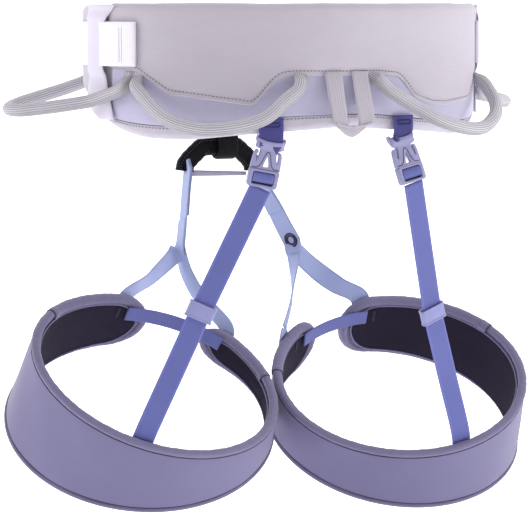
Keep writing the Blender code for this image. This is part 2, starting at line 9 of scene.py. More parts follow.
import bmesh
import bpy
import numpy as np
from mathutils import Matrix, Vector

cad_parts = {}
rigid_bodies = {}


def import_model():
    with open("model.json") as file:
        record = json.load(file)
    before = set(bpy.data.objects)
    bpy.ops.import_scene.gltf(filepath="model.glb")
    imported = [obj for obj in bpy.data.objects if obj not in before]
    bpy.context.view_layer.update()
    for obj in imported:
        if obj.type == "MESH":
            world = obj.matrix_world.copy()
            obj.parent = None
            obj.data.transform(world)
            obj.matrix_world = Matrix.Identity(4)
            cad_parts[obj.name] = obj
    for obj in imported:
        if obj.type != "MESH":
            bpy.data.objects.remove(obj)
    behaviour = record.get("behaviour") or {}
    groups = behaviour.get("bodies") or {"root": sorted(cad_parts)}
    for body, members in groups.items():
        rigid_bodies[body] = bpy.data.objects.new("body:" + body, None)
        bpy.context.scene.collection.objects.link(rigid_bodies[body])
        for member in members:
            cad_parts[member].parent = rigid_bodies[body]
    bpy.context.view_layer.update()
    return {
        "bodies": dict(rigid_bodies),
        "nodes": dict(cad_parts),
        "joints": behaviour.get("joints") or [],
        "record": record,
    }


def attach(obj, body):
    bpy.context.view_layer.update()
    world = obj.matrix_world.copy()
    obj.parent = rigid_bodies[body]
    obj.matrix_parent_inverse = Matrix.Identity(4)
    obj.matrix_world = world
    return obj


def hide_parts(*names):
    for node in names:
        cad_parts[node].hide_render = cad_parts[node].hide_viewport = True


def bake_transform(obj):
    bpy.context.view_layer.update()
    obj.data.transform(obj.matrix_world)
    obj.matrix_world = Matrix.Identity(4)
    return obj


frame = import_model()
MM = 0.001

scene = bpy.context.scene


def link(name, data):
    """A new object in the scene."""
    obj = bpy.data.objects.new(name, data)
    scene.collection.objects.link(obj)
    return obj


# ------------------------------------------------------------------ camera
CAMERA_TURN = math.radians(-25.0)
CAMERA_FAR = 2.0
IMAGE_WIDTH = 529.0
FOCAL = 2487.0          # focal length, in the unit that makes the image 529 wide
CAMERA_DROP = 251.5     # how far the middle of the view lies below the level line, in the same unit
cam_data = bpy.data.cameras.new("camera")
cam_data.sensor_width = 36.0
cam_data.lens = cam_data.sensor_width * FOCAL / IMAGE_WIDTH
cam_data.shift_x = -17.5 / IMAGE_WIDTH
cam_data.clip_end = 50.0
camera = link("camera", cam_data)
camera.location = (CAMERA_FAR * math.sin(CAMERA_TURN), -CAMERA_FAR * math.cos(CAMERA_TURN), 0.030)
camera.rotation_euler = (math.pi / 2 - math.atan(CAMERA_DROP / FOCAL), 0.0, CAMERA_TURN)
scene.camera = camera
scene.view_settings.view_transform = "Standard"
scene.view_settings.look = "None"


# ------------------------------------------------------------------ shapes of the frame
def along(table, x):
    return float(np.interp(x, [p[0] for p in table], [p[1] for p in table]))


def smooth_along(table, x, r=2.2):
    """Table reading with its corners rounded over about r on each side."""
    return sum(along(table, x + d * r) for d in (-1, -0.5, 0, 0.5, 1)) / 5


def smooth_step(t):
    t = np.clip(t, 0.0, 1.0)
    return t * t * (3 - 2 * t)


def spline(pts, parts, count):
    """Catmull-Rom curve between the second and the last but one of pts, read parts steps apart."""
    spans = len(pts) - 3
    out = []
    for i in range(count):
        u = spans * i / parts
        k = min(int(u), spans - 1)
        t = u - k
        a, b, c, d = pts[k:k + 4]
        out.append(0.5 * (2 * b + (c - a) * t + (2 * a - 5 * b + 4 * c - d) * t ** 2
                          + (3 * b - a - 3 * c + d) * t ** 3))
    return np.array(out)


def curve_through(points, count):
    pts = [np.array(p, float) for p in points]
    return spline([2 * pts[0] - pts[1]] + pts + [2 * pts[-1] - pts[-2]], count - 1, count)


def smooth_outline(points, count=90):
    """Closed smooth outline through the given corners."""
    pts = [np.array(p, float) for p in points]
    return [tuple(p) for p in spline([pts[-1]] + pts + pts[:2], count, count)]


def lengths(path):
    """Distance along a line at each of its points."""
    return np.concatenate([[0], np.cumsum(np.linalg.norm(np.diff(path, axis=0), axis=1))])


def read_line(at, s, path):
    return np.stack([np.interp(at, s, path[:, k]) for k in range(3)], 1)


def even(path, count):
    """The same line with evenly spaced points."""
    path = np.asarray(path, float)
    s = lengths(path)
    return read_line(np.linspace(0, s[-1], count), s, path)


def unit(v):
    v = np.asarray(v, float)
    return v / np.maximum(np.linalg.norm(v, axis=-1, keepdims=True), 1e-9)


WAIST_A, WAIST_B = 165.0, 115.0     # half width and half depth of the belt's line
PANEL_END = 74.0                    # angle to which the panels' seams run
PAD_END = 128.0
WEB_Z = 0.5                         # height of the waist webbing's middle
BUCKLE_ANGLE = 150.0
PAD_BOTTOM = ((0, -63), (28, -68), (45, -72), (60, -71), (73, -65), (83, -55), (93, -40), (108, -32), (128, -28))
PAD_TOP = ((0, 30), (100, 30), (128, 26))
# Heights of the outer panel's lower edge and of the lower panel's, against the angle round the belt.
SHELL_BOTTOM = ((-86, -16), (-73, -17), (-65, -18), (-61.5, -21), (-57.5, -27), (-54, -32), (-51, -37), (-45.5, -38.5),
                (-34, -42.5), (-26, -45.5), (-23.5, -38), (-20.5, -28), (-18.5, -24), (-15.5, -22.5), (0, -23),
                (9, -22.5), (17, -24.5), (20, -32), (23, -41.5), (30, -47), (36, -48), (53, -45), (58, -36),
                (61.5, -26), (66, -22), (72, -19), (86, -16))
LOWER_BOTTOM = ((-74, -56), (-66, -59), (-58, -60.5), (-49, -61), (-15, -53.5), (0, -52.5), (11, -53.5), (30, -59),
                (44, -61), (55, -60.5), (66, -58.5), (74, -55.5))
RIM = 9.5
SIGN = {"left": -1.0, "right": 1.0}
UP = np.array((0.0, 0.0, 1.0))
LEG_FOAM_T = 6.0
LEG = {
    "left": {"upper": (3.4, 0.0, -260.0, 104.5, 38.2, 11.0), "lower": (2.6, 24.0, -304.0, 108.5, 40.0, -2.5),
             "ends": (-138.0, 191.0)},
    "right": {"upper": (0.8, 0.0, -274.0, 106.0, 37.9, -6.5), "lower": (2.0, 24.0, -322.0, 109.5, 37.9, -0.1),
              "ends": (-152.0, 189.0)},
}


def waist_normal(angle):
    t = math.radians(angle)
    return unit((math.sin(t) * WAIST_B, -math.cos(t) * WAIST_A, 0.0))


def waist(angle, offset, z):
    t = math.radians(angle)
    return np.array((WAIST_A * math.sin(t), -WAIST_B * math.cos(t), z)) + waist_normal(angle) * offset


def waist_tangent(angle):
    n = waist_normal(angle)
    return np.array((-n[1], n[0], 0.0))


def ring_point(ring, angle, side):
    clear, cy, cz, a, pitch, roll = ring
    t, pitch, roll = math.radians(angle), math.radians(pitch), math.radians(roll)
    x, y = a * math.sin(t), -0.82 * a * math.cos(t)
    x, z = x * math.cos(roll), -x * math.sin(roll)
    y, z = y * math.cos(pitch) - z * math.sin(pitch), y * math.sin(pitch) + z * math.cos(pitch)
    centre = SIGN[side] * (clear + LEG_FOAM_T / 2 + a * math.cos(roll))
    return np.array((x + centre, y + cy, z + cz))


def wall(side, angle, v, offset=0.0):
    """Leg loop: angle 0 at the back, positive to the outer side; v 0 upper edge, 1 lower."""
    s = SIGN[side]
    top, low = LEG[side]["upper"], LEG[side]["lower"]
    upper, lower = ring_point(top, s * angle, side), ring_point(low, s * angle, side)
    step = ring_point(top, s * angle + 1.0, side) - ring_point(top, s * angle - 1.0, side)
    out = unit(np.cross(step, lower - upper)) * -1.0
    return upper + (lower - upper) * v + out * offset


# ------------------------------------------------------------------ materials
class Nodes:
    """Short hand for one material's node tree."""

    def __init__(self, name):
        self.mat = bpy.data.materials.new(name)
        self.mat.use_nodes = True
        self.tree = self.mat.node_tree
        self.shader = self.tree.nodes["Principled BSDF"]
        self.uv = self.add("ShaderNodeUVMap").outputs["UV"]
        self.pos = self.add("ShaderNodeTexCoord").outputs["Object"]

    def add(self, kind, **props):
        node = self.tree.nodes.new(kind)
        for key, value in props.items():
            setattr(node, key, value)
        return node

    def join(self, socket, value):
        if isinstance(value, bpy.types.NodeSocket):
            self.tree.links.new(value, socket)
        else:
            socket.default_value = value

    def math(self, op, a, b=0.0, clamp=False):
        node = self.add("ShaderNodeMath", operation=op, use_clamp=clamp)
        self.join(node.inputs[0], a)
        self.join(node.inputs[1], b)
        return node.outputs[0]

    def total(self, a, share_a, b, share_b):
        return self.math("ADD", self.math("MULTIPLY", a, share_a), self.math("MULTIPLY", b, share_b))

    def axes(self):
        node = self.add("ShaderNodeSeparateXYZ")
        self.join(node.inputs[0], self.uv)
        return node.outputs[0], node.outputs[1]

    def noise(self, scale, detail=3.0, rough=0.55, where=None, stretch=None):
        source = self.pos if where is None else where
        if stretch:
            mapping = self.add("ShaderNodeMapping")
            self.join(mapping.inputs["Vector"], source)
            mapping.inputs["Scale"].default_value = stretch
            source = mapping.outputs[0]
        node = self.add("ShaderNodeTexNoise")
        self.join(node.inputs["Vector"], source)
        node.inputs["Scale"].default_value = scale
        node.inputs["Detail"].default_value = detail
        node.inputs["Roughness"].default_value = rough
        return node.outputs["Fac"]

    def wave(self, axis, pitch_mm):
        """sin squared along one cloth direction, one crest for each pitch."""
        return self.math("POWER", self.math("SINE", self.math("MULTIPLY", axis, math.pi / (pitch_mm * MM))), 2.0)

    def ramp(self, value, stops):
        node = self.add("ShaderNodeValToRGB")
        self.join(node.inputs[0], value)
        ramp = node.color_ramp
        while len(ramp.elements) > len(stops):
            ramp.elements.remove(ramp.elements[-1])
        while len(ramp.elements) < len(stops):
            ramp.elements.new(1.0)
        for element, (at, colour) in zip(ramp.elements, stops):
            element.position = at
            element.color = (*colour, 1.0)
        return node.outputs[0]

    def mix(self, factor, a, b, blend="MIX"):
        node = self.add("ShaderNodeMix", data_type="RGBA", blend_type=blend)
        self.join(node.inputs[0], factor)
        self.join(node.inputs[6], a if isinstance(a, bpy.types.NodeSocket) else (*a, 1.0))
        self.join(node.inputs[7], b if isinstance(b, bpy.types.NodeSocket) else (*b, 1.0))
        return node.outputs[2]

    def span(self, value, low, high):
        node = self.add("ShaderNodeMapRange")
        self.join(node.inputs[0], value)
        node.inputs[3].default_value = low
        node.inputs[4].default_value = high
        return node.outputs[0]

    def finish(self, colour, rough, height=None, bump=0.3, depth_mm=0.3, sheen=0.0, metallic=0.0, specular=0.4):
        sh = self.shader
        self.join(sh.inputs["Base Color"], colour)
        self.join(sh.inputs["Roughness"], rough)
        sh.inputs["Metallic"].default_value = metallic
        sh.inputs["Specular IOR Level"].default_value = specular
        if sheen:
            sh.inputs["Sheen Weight"].default_value = sheen
            sh.inputs["Sheen Roughness"].default_value = 0.45
        if height is not None:
            node = self.add("ShaderNodeBump")
            node.inputs["Strength"].default_value = bump
            node.inputs["Distance"].default_value = depth_mm * MM
            self.join(node.inputs["Height"], height)
            self.join(sh.inputs["Normal"], node.outputs[0])
        return self.mat


def lin(r, g, b):
    """Linear values of an sRGB colour given in 0-255."""
    return tuple(((c / 255 + 0.055) / 1.055) ** 2.4 if c > 10 else c / 3294 for c in (r, g, b))


def shade(colour, k):
    return tuple(min(1.0, c * k) for c in colour)


def woven(name, colour, pitch=0.55, warmth=0.06, rough=0.72, bump=0.35, sheen=0.25, slub=0.5, streak=(1, 1, 1)):
    """Plain-weave shell fabric: fine over-and-under threads, slubs, faint mottling."""
    n = Nodes(name)
    u, v = n.axes()
    weft, warp = n.wave(u, pitch), n.wave(v, pitch)
    thread = n.total(weft, 0.5, warp, 0.5)
    slubs = n.noise(900.0, 2.0, 0.6, stretch=(1, 1, 3.0))
    broad = n.noise(16.0, 4.0, 0.6, stretch=streak)
    fine = n.noise(160.0, 3.0, 0.6, stretch=streak)
    tone = n.total(broad, 0.6, fine, 0.4)
    base = n.ramp(tone, ((0.30, shade(colour, 1 - warmth)), (0.52, colour), (0.74, shade(colour, 1 + warmth))))
    base = n.mix(n.span(thread, 0.10, 0.0), base, shade(colour, 0.55))
    height = n.total(thread, 0.7, slubs, slub)
    return n.finish(base, n.span(fine, rough - 0.08, rough + 0.1), height, bump, 0.25, sheen)


def webbing(name, colour, across=1.4, lengthwise=0.0, dark=0.75, rough=0.62, bump=0.5, edge=None, half=8.0,
            twill=0.0, sheen=0.12, vary=0.05, specular=0.3):
    """Webbing: ribs across and/or lengthwise cords, an even selvedge at both edges."""
    n = Nodes(name)
    u, v = n.axes()
    height = None
    if across:
        height = n.wave(u, across)
    if lengthwise:
        cords = n.wave(v, lengthwise)
        height = cords if height is None else n.math("ADD", n.math("MULTIPLY", height, 0.35), cords)
    if twill:
        diag = n.wave(n.math("ADD", u, v), twill)
        back = n.wave(n.math("SUBTRACT", u, v), twill)
        cross = n.math("MULTIPLY", diag, back)
        height = cross if height is None else n.math("ADD", n.math("MULTIPLY", height, 0.6), cross)
    fuzz = n.noise(700.0, 3.0, 0.6)
    broad = n.noise(22.0, 3.0, 0.55)
    base = n.ramp(broad, ((0.3, shade(colour, 1 - vary)), (0.7, shade(colour, 1 + vary))))
    base = n.mix(n.math("MULTIPLY", n.math("SUBTRACT", 1.0, height, clamp=True), 0.55), base, shade(colour, dark))
    if edge:
        off = n.math("ABSOLUTE", v)
        rim = n.math("GREATER_THAN", off, (half - 0.9) * MM)
        base = n.mix(rim, base, edge)
    bumpy = n.total(height, 0.8, fuzz, 0.3)
    return n.finish(base, n.span(fuzz, rough - 0.07, rough + 0.1), bumpy, bump, 0.3, sheen, specular=specular)


def net(name, colour, hole, pitch=1.7):
    """Spacer mesh: small round holes in staggered rows in a knitted ground."""
    n = Nodes(name)
    u, v = n.axes()
    cell = n.math("MULTIPLY", n.wave(n.math("ADD", u, v), pitch), n.wave(n.math("SUBTRACT", u, v), pitch))
    rows = n.wave(v, pitch * 0.5)
    fuzz = n.noise(500.0, 3.0, 0.6)
    broad = n.noise(14.0, 3.0, 0.6)
    ground = n.ramp(broad, ((0.3, shade(colour, 0.8)), (0.7, shade(colour, 1.25))))
    ground = n.mix(n.math("MULTIPLY", fuzz, 0.35), ground, shade(colour, 1.7))
    pit = n.math("GREATER_THAN", cell, 0.45)
    base = n.mix(pit, ground, hole)
    height = n.math("SUBTRACT", n.total(fuzz, 0.3, rows, 0.2), cell)
    return n.finish(base, n.span(fuzz, 0.75, 0.95), height, 0.7, 0.5, 0.0, specular=0.1)


def moulded(name, colour, rough=0.42, grain=1500.0, worn=1.25):
    """Moulded plastic: very fine spark grain, faint flow marks, paler worn high spots."""
    n = Nodes(name)
    fine = n.noise(grain, 2.0, 0.5)
    flow = n.noise(60.0, 4.0, 0.65, stretch=(1, 1, 0.4))
    scuff = n.noise(260.0, 5.0, 0.75)
    base = n.ramp(flow, ((0.3, shade(colour, 0.94)), (0.7, shade(colour, 1.06))))
    base = n.mix(n.math("MULTIPLY", n.math("GREATER_THAN", scuff, 0.66), 0.35), base, shade(colour, worn))
    return n.finish(base, n.span(scuff, rough - 0.08, rough + 0.16), fine, 0.16, 0.08)


def brushed(name, colour):
    """Anodised alloy with fine brushing and small scratches."""
    n = Nodes(name)
    lines = n.noise(900.0, 3.0, 0.7, stretch=(0.06, 0.06, 1.0))
    spots = n.noise(70.0, 4.0, 0.7)
    base = n.ramp(spots, ((0.3, shade(colour, 0.88)), (0.7, shade(colour, 1.08))))
    return n.finish(base, n.span(lines, 0.24, 0.46), lines, 0.2, 0.06, metallic=1.0)


def thread(name, colour):
    n = Nodes(name)
    twist = n.noise(2200.0, 2.0, 0.5)
    base = n.ramp(twist, ((0.3, shade(colour, 0.8)), (0.7, shade(colour, 1.15))))
    return n.finish(base, n.span(twist, 0.5, 0.75), twist, 0.4, 0.1)


def sleeving(name, colour, low):
    """Braided cover of a gear loop: lengthwise cords over a fine diamond braid, and painted shade that darkens the
    tube's underside.
    """
    n = Nodes(name)
    u, v = n.axes()
    braid = n.math("MULTIPLY", n.wave(n.math("ADD", u, v), 1.15), n.wave(n.math("SUBTRACT", u, v), 1.15))
    cords = n.wave(v, 1.75)
    tone = n.noise(40.0, 3.0, 0.6)
    base = n.ramp(tone, ((0.3, shade(colour, 0.93)), (0.7, shade(colour, 1.05))))
    gap = n.math("SUBTRACT", 1.0, n.total(cords, 0.75, braid, 0.6), clamp=True)
    # The low colour darkens the gaps between cords and braid, and below it also serves as the painted underside shade.
    base = n.mix(n.math("MULTIPLY", gap, 0.95), base, low)
    # Painted shade: the underside of the tube, round v = 16.5 mm, is mixed towards the low colour, with the braid
    # showing through.
    under = n.math("ABSOLUTE", n.math("SUBTRACT", v, 16.5 * MM))
    under = n.math("MULTIPLY", n.math("SUBTRACT", 7.0 * MM, under), 1.0 / (3.5 * MM), clamp=True)
    base = n.mix(n.math("MULTIPLY", under, n.math("SUBTRACT", 0.8, n.math("MULTIPLY", braid, 0.75))), base, low)
    height = n.total(cords, 0.7, braid, 0.5)
    return n.finish(base, n.span(tone, 0.42, 0.58), height, 0.65, 0.45, 0.2)


C_SHELL = lin(182, 175, 187)
C_LOWER = lin(176, 172, 198)
C_PAD = lin(186, 180, 194)
C_WHITE = lin(232, 227, 238)
C_SLEEVE = lin(208, 201, 218)
C_TUBE = lin(210, 205, 216)
C_HAUL = lin(194, 188, 200)
C_ELASTIC = lin(92, 97, 160)
C_TAB = lin(62, 60, 124)
C_RISER = lin(160, 170, 212)
C_BUCKLE = lin(136, 134, 172)
C_KEEPER = lin(132, 133, 180)
C_LEG = lin(108, 103, 140)
C_RIM = lin(110, 105, 138)
C_MESH = lin(38, 32, 50)
C_BLACK = lin(8, 7, 14)

M = {
    "shell": woven("shell_fabric", C_SHELL, 0.5, 0.05, streak=(0.5, 0.5, 2.2)),
    "lower": woven("lower_fabric", C_LOWER, 0.45, 0.07, rough=0.6),
    "pad": woven("pad_fabric", C_PAD, 0.6, 0.05, rough=0.78),
    "sleeve": woven("sleeve_fabric", C_SLEEVE, 0.5, 0.04, rough=0.7),
    "leg": woven("leg_fabric", C_LEG, 0.5, 0.06, rough=0.7, streak=(1, 1, 1.6)),
    "rim": woven("binding_fabric", C_RIM, 0.55, 0.08, rough=0.74),
    "webbing": webbing("waist_webbing_weave", C_WHITE, across=1.9, dark=0.80, bump=0.8, half=17.0, vary=0.03),
    "haul": webbing("haul_weave", C_HAUL, across=0.0, lengthwise=1.9, twill=1.0, dark=0.42, bump=0.9, vary=0.09),
    "elastic": webbing("elastic_weave", C_ELASTIC, across=0.9, lengthwise=0.8, dark=0.82, bump=0.35,
                       edge=shade(C_ELASTIC, 1.22), half=8.0),
    "tab": webbing("tab_weave", C_TAB, across=0.9, lengthwise=0.8, dark=0.8, bump=0.4, edge=shade(C_TAB, 1.2),
                   half=8.8),
    "riser": webbing("riser_weave", C_RISER, across=1.5, twill=1.1, dark=0.84, bump=0.4,
                     edge=shade(C_RISER, 0.82), half=7.6),
    "black": webbing("black_weave", C_BLACK, across=1.3, lengthwise=2.2, dark=0.6, bump=0.7, sheen=0.0, vary=0.2,
                     specular=0.15),
    "thin": webbing("thin_tape_weave", lin(168, 166, 186), across=0.8, dark=0.8, bump=0.3),
    "mesh": net("mesh_lining", C_MESH, shade(C_MESH, 0.35)),
    # The sleeving's second colour darkens the braid's gaps and, as painted shade, the gear loops' undersides.
    "tube": sleeving("gear_loop_sleeving", C_TUBE, shade(C_TUBE, 0.3)),
    "buckle": moulded("buckle_plastic", C_BUCKLE),
    "keeper": moulded("keeper_plastic", C_KEEPER, 0.36),
    # Dark plastic for painted shade: the line in the buckle's groove and the sheet behind the sliding half's window.
    "groove": moulded("buckle_painted_shade", lin(76, 72, 98), 0.7),
    "alloy": brushed("buckle_alloy", (0.62, 0.62, 0.64)),
    "thread_pale": thread("thread_pale", lin(176, 166, 182)),
    "thread_dark": thread("thread_dark", lin(58, 50, 74)),
    "thread_violet": thread("thread_violet", lin(40, 38, 92)),
    "cord_rim": woven("piping_fabric", lin(112, 104, 140), 0.5, 0.06, rough=0.7),
}


# ------------------------------------------------------------------ mesh building
def points_of(mesh):
    co = np.empty(len(mesh.vertices) * 3)
    mesh.vertices.foreach_get("co", co)
    return co.reshape(-1, 3)


def set_uvs(mesh, uvs):
    """One (u, v) for each point of the mesh."""
    layer = mesh.uv_layers.get("UVMap") or mesh.uv_layers.new(name="UVMap")
    loops = np.empty(len(mesh.loops), np.int32)
    mesh.loops.foreach_get("vertex_index", loops)
    layer.data.foreach_set("uv", uvs[loops].astype(np.float32).ravel())


def smooth_faces(mesh):
    mesh.polygons.foreach_set("use_smooth", [True] * len(mesh.polygons))


def fix_normals(obj):
    bm = bmesh.new()
    bm.from_mesh(obj.data)
    bmesh.ops.recalc_face_normals(bm, faces=bm.faces)
    bm.to_mesh(obj.data)
    bm.free()
    smooth_faces(obj.data)


def quads(rows, around, closed=False, base=0):
    """Faces between rows of points that each run once round a section."""
    faces = []
    for i in range(rows if closed else rows - 1):
        k = (i + 1) % rows
        for j in range(around):
            q = (j + 1) % around
            faces.append((base + i * around + j, base + k * around + j, base + k * around + q, base + i * around + q))
    return faces


def piece(name, points, faces, uvs, mat):
    """A mesh object from points in mm, faces and one (u, v) in mm for each point."""
    mesh = bpy.data.meshes.new(name)
    mesh.from_pydata([tuple(p * MM) for p in np.asarray(points, float)], [], [tuple(map(int, f)) for f in faces])
    mesh.update()
    set_uvs(mesh, np.asarray(uvs, float) * MM)
    mesh.materials.append(M[mat])
    obj = link(name, mesh)
    fix_normals(obj)
    return obj


def grid_normals(grid, closed=False):
    if closed:
        du = np.roll(grid, -1, 0) - np.roll(grid, 1, 0)
    else:
        du = np.gradient(grid, axis=0)
    dv = np.gradient(grid, axis=1)
    return unit(np.cross(du, dv))


def slab(name, grid, front, back, mat, closed=False, round_by=0.7, outward=None):
    """Closed cloth or foam panel from a grid (nu, nv, 3) of its middle face in mm. front and
    back are distances along the outward normal; the edge is rounded. outward(point) points out."""
    grid = np.asarray(grid, float)
    nu, nv = grid.shape[:2]
    normal = grid_normals(grid, closed)
    if outward is not None:
        middle = grid[nu // 2, nv // 2]
        if np.dot(normal[nu // 2, nv // 2], outward(middle)) < 0:
            normal = -normal
    front = np.broadcast_to(np.asarray(front, float), (nu, nv))[..., None]
    back = np.broadcast_to(np.asarray(back, float), (nu, nv))[..., None]
    top, low = grid + normal * front, grid + normal * back
    u = lengths(grid[:, nv // 2])
    sv = np.linalg.norm(np.diff(grid, axis=1), axis=2)
    v = np.concatenate([np.zeros((nu, 1)), np.cumsum(sv, 1)], 1)
    v = v - v[:, -1:] / 2
    uv = np.stack([np.broadcast_to(u[:, None], (nu, nv)), v], -1)
    points = [top.reshape(-1, 3), low.reshape(-1, 3)]
    uvs = [uv.reshape(-1, 2), uv.reshape(-1, 2)]
    n = nu * nv
    faces = []
    rows = nu if closed else nu - 1
    for i in range(rows):
        k = (i + 1) % nu
        for j in range(nv - 1):
            a, b, c, d = i * nv + j, k * nv + j, k * nv + j + 1, i * nv + j + 1
            faces.append((a, b, c, d))
            faces.append((n + d, n + c, n + b, n + a))
    if closed:
        rims = [[(i, 0) for i in range(nu)], [(i, nv - 1) for i in range(nu)][::-1]]
    else:
        ring = [(i, 0) for i in range(nu)] + [(nu - 1, j) for j in range(1, nv)]
        ring += [(i, nv - 1) for i in range(nu - 2, -1, -1)] + [(0, j) for j in range(nv - 2, 0, -1)]
        rims = [ring]
    for ring in rims:
        start = 2 * n + sum(len(p) for p in points[2:])
        extra, extra_uv = [], []
        for i, j in ring:
            inner_i = i if closed else min(max(i, 1), nu - 2)
            inner_j = min(max(j, 1), nv - 2) if nv > 2 else 1 - j
            away = unit(grid[i, j] - grid[inner_i, inner_j])
            half = (front[i, j, 0] - back[i, j, 0]) / 2
            mid = (top[i, j] + low[i, j]) / 2
            extra.append(mid + away * half * round_by)
            extra_uv.append(uv[i, j])
        points.append(np.array(extra))
        uvs.append(np.array(extra_uv))
        count = len(ring)
        for q in range(count):
            r = (q + 1) % count
            a, b = ring[q][0] * nv + ring[q][1], ring[r][0] * nv + ring[r][1]
            faces.append((start + q, start + r, b, a))
            faces.append((n + a, n + b, start + r, start + q))
    return piece(name, np.concatenate(points), faces, np.concatenate(uvs), mat)


def sweep(name, path, side, profile, mat, closed=False, scale=None):
    """A section (x along side, y along the normal, mm) carried along a path."""
    path = np.asarray(path, float)
    count = len(path)
    if closed:
        run = unit(np.roll(path, -1, 0) - np.roll(path, 1, 0))
    else:
        run = unit(np.gradient(path, axis=0))
    side = np.broadcast_to(np.asarray(side, float), path.shape)
    side = unit(side - run * np.sum(side * run, 1, keepdims=True))
    normal = np.cross(run, side)
    profile = np.asarray(profile, float)
    if profile.ndim == 2:
        profile = np.broadcast_to(profile, (count, *profile.shape)).copy()
    if scale is not None:
        profile = profile * np.asarray(scale, float).reshape(count, 1, -1)
    m = profile.shape[1]
    pts = path[:, None] + side[:, None] * profile[..., :1] + normal[:, None] * profile[..., 1:]
    s = lengths(path)
    around = np.linalg.norm(np.roll(profile[count // 2], -1, 0) - profile[count // 2], axis=1)
    w = np.concatenate([[0], np.cumsum(around)[:-1]])
    flat = abs(profile[count // 2][:, 0]).max() > 2.2 * abs(profile[count // 2][:, 1]).max()
    if flat:
        uvs = np.stack([np.broadcast_to(s[:, None], (count, m)), profile[..., 0]], -1)
    else:
        uvs = np.stack(np.broadcast_arrays(s[:, None], w[None]), -1)
    faces = quads(count, m, closed)
    pts, uvs = pts.reshape(-1, 3), uvs.reshape(-1, 2)
    if not closed:
        for end, base in ((0, 0), (count - 1, (count - 1) * m)):
            pts = np.concatenate([pts, path[end][None]])
            uvs = np.concatenate([uvs, [[s[end], 0.0]]])
            c = len(pts) - 1
            for j in range(m):
                q = (j + 1) % m
                faces.append((c, base + j, base + q) if end == 0 else (c, base + q, base + j))
    return piece(name, pts, faces, uvs, mat)


def tape(w, t, n=9):
    """Rounded flat section of webbing, w wide and t thick."""
    a, b = w / 2, t / 2
    xs = np.linspace(-a + b, a - b, n)
    top = [(x, b) for x in xs]
    low = [(x, -b) for x in xs[::-1]]
    right = [(a - b + b * math.cos(q), b * math.sin(q)) for q in (math.pi / 4, 0, -math.pi / 4)]
    left = [(-a + b - b * math.cos(q), -b * math.sin(q)) for q in (math.pi / 4, 0, -math.pi / 4)]
    return np.array(top + right + low + left)


def disc(r, n=16, ribs=0, depth=0.0):
    t = np.arange(n) * 2 * math.pi / n
    k = r * (1 + depth * np.cos(ribs * t)) if ribs else r
    return np.stack([k * np.cos(t), k * np.sin(t)], 1)


def stitches(name, path, normal, pitch, mat, length=0.62, thick=0.42, lift=0.1, cross=None):
    """Row of short threads lying on a surface, as one mesh of small rounded bars."""
    path = np.asarray(path, float)
    s = lengths(path)
    at = np.arange(pitch / 2, s[-1], pitch)
    P = read_line(at, s, path)
    N = unit(read_line(at, s, np.broadcast_to(np.asarray(normal, float), path.shape)))
    T = unit(read_line(at + 0.3, s, path) - read_line(at - 0.3, s, path))
    if cross is not None:
        T = unit(T + np.cross(T, N) * cross)
    B = np.cross(N, T)
    half = pitch * length / 2
    stations = ((-1.0, 0.15), (-0.7, 0.8), (0.0, 1.0), (0.7, 0.8), (1.0, 0.15))
    sect = [(math.cos(a), math.sin(a)) for a in np.arange(6) * math.pi / 3]
    pts, faces, uvs = [], [], []
    for c, nn, t, b in zip(P, N, T, B):
        base = len(pts)
        for x, k in stations:
            for cx, cy in sect:
                pts.append(c + nn * (lift + thick * k * cy * 0.8) + t * x * half + b * thick * k * cx)
                uvs.append((x * half, cx))
        faces += quads(len(stations), 6, base=base)
        faces.append(tuple(base + j for j in range(6)))
        faces.append(tuple(base + 24 + j for j in reversed(range(6))))
    return piece(name, pts, faces, uvs, mat)


def inflate(obj, hold, cap=2.0, pressure=3.0, frames=20):
    """Puffs a closed padded piece as a cloth under pressure; hold gives each point's pin share."""
    mesh = obj.data
    rest = points_of(mesh)
    group = obj.vertex_groups.new(name="held")
    for i, w in enumerate(hold):
        if w > 0:
            group.add([i], float(w), "REPLACE")
    cloth = obj.modifiers.new("padding", "CLOTH")
    for key, value in {"quality": 4, "mass": 0.2, "tension_stiffness": 18, "compression_stiffness": 10,
                       "shear_stiffness": 8, "bending_stiffness": 0.6, "use_pressure": True,
                       "uniform_pressure_force": pressure, "vertex_group_mass": "held"}.items():
        setattr(cloth.settings, key, value)
    cloth.settings.effector_weights.gravity = 0.0
    cloth.collision_settings.use_collision = False
    cloth.point_cache.frame_start = 1
    cloth.point_cache.frame_end = frames
    for f in range(1, frames + 1):
        scene.frame_set(f)
    graph = bpy.context.evaluated_depsgraph_get()
    step = points_of(obj.evaluated_get(graph).to_mesh()) - rest
    obj.evaluated_get(graph).to_mesh_clear()
    obj.modifiers.remove(cloth)
    scene.frame_set(1)
    size = np.linalg.norm(step, axis=1, keepdims=True)
    step *= cap * MM * np.tanh(size / (cap * MM)) / np.maximum(size, 1e-9)
    mesh.vertices.foreach_set("co", (rest + step).ravel())
    mesh.update()


def subdivide(obj, levels=1):
    """One smooth subdivision, applied."""
    mod = obj.modifiers.new("smooth", "SUBSURF")
    mod.levels = mod.render_levels = levels
    graph = bpy.context.evaluated_depsgraph_get()
    new = bpy.data.meshes.new_from_object(obj.evaluated_get(graph))
    obj.modifiers.remove(mod)
    obj.data = new
    smooth_faces(new)


def round_edge(distance, reach):
    """1 in the middle, falling in a quarter circle to a small value at an edge."""
    d = np.clip(np.asarray(distance, float) / reach, 0, 1)
    return np.sqrt(np.clip(1 - (1 - d) ** 2, 0.03, 1))


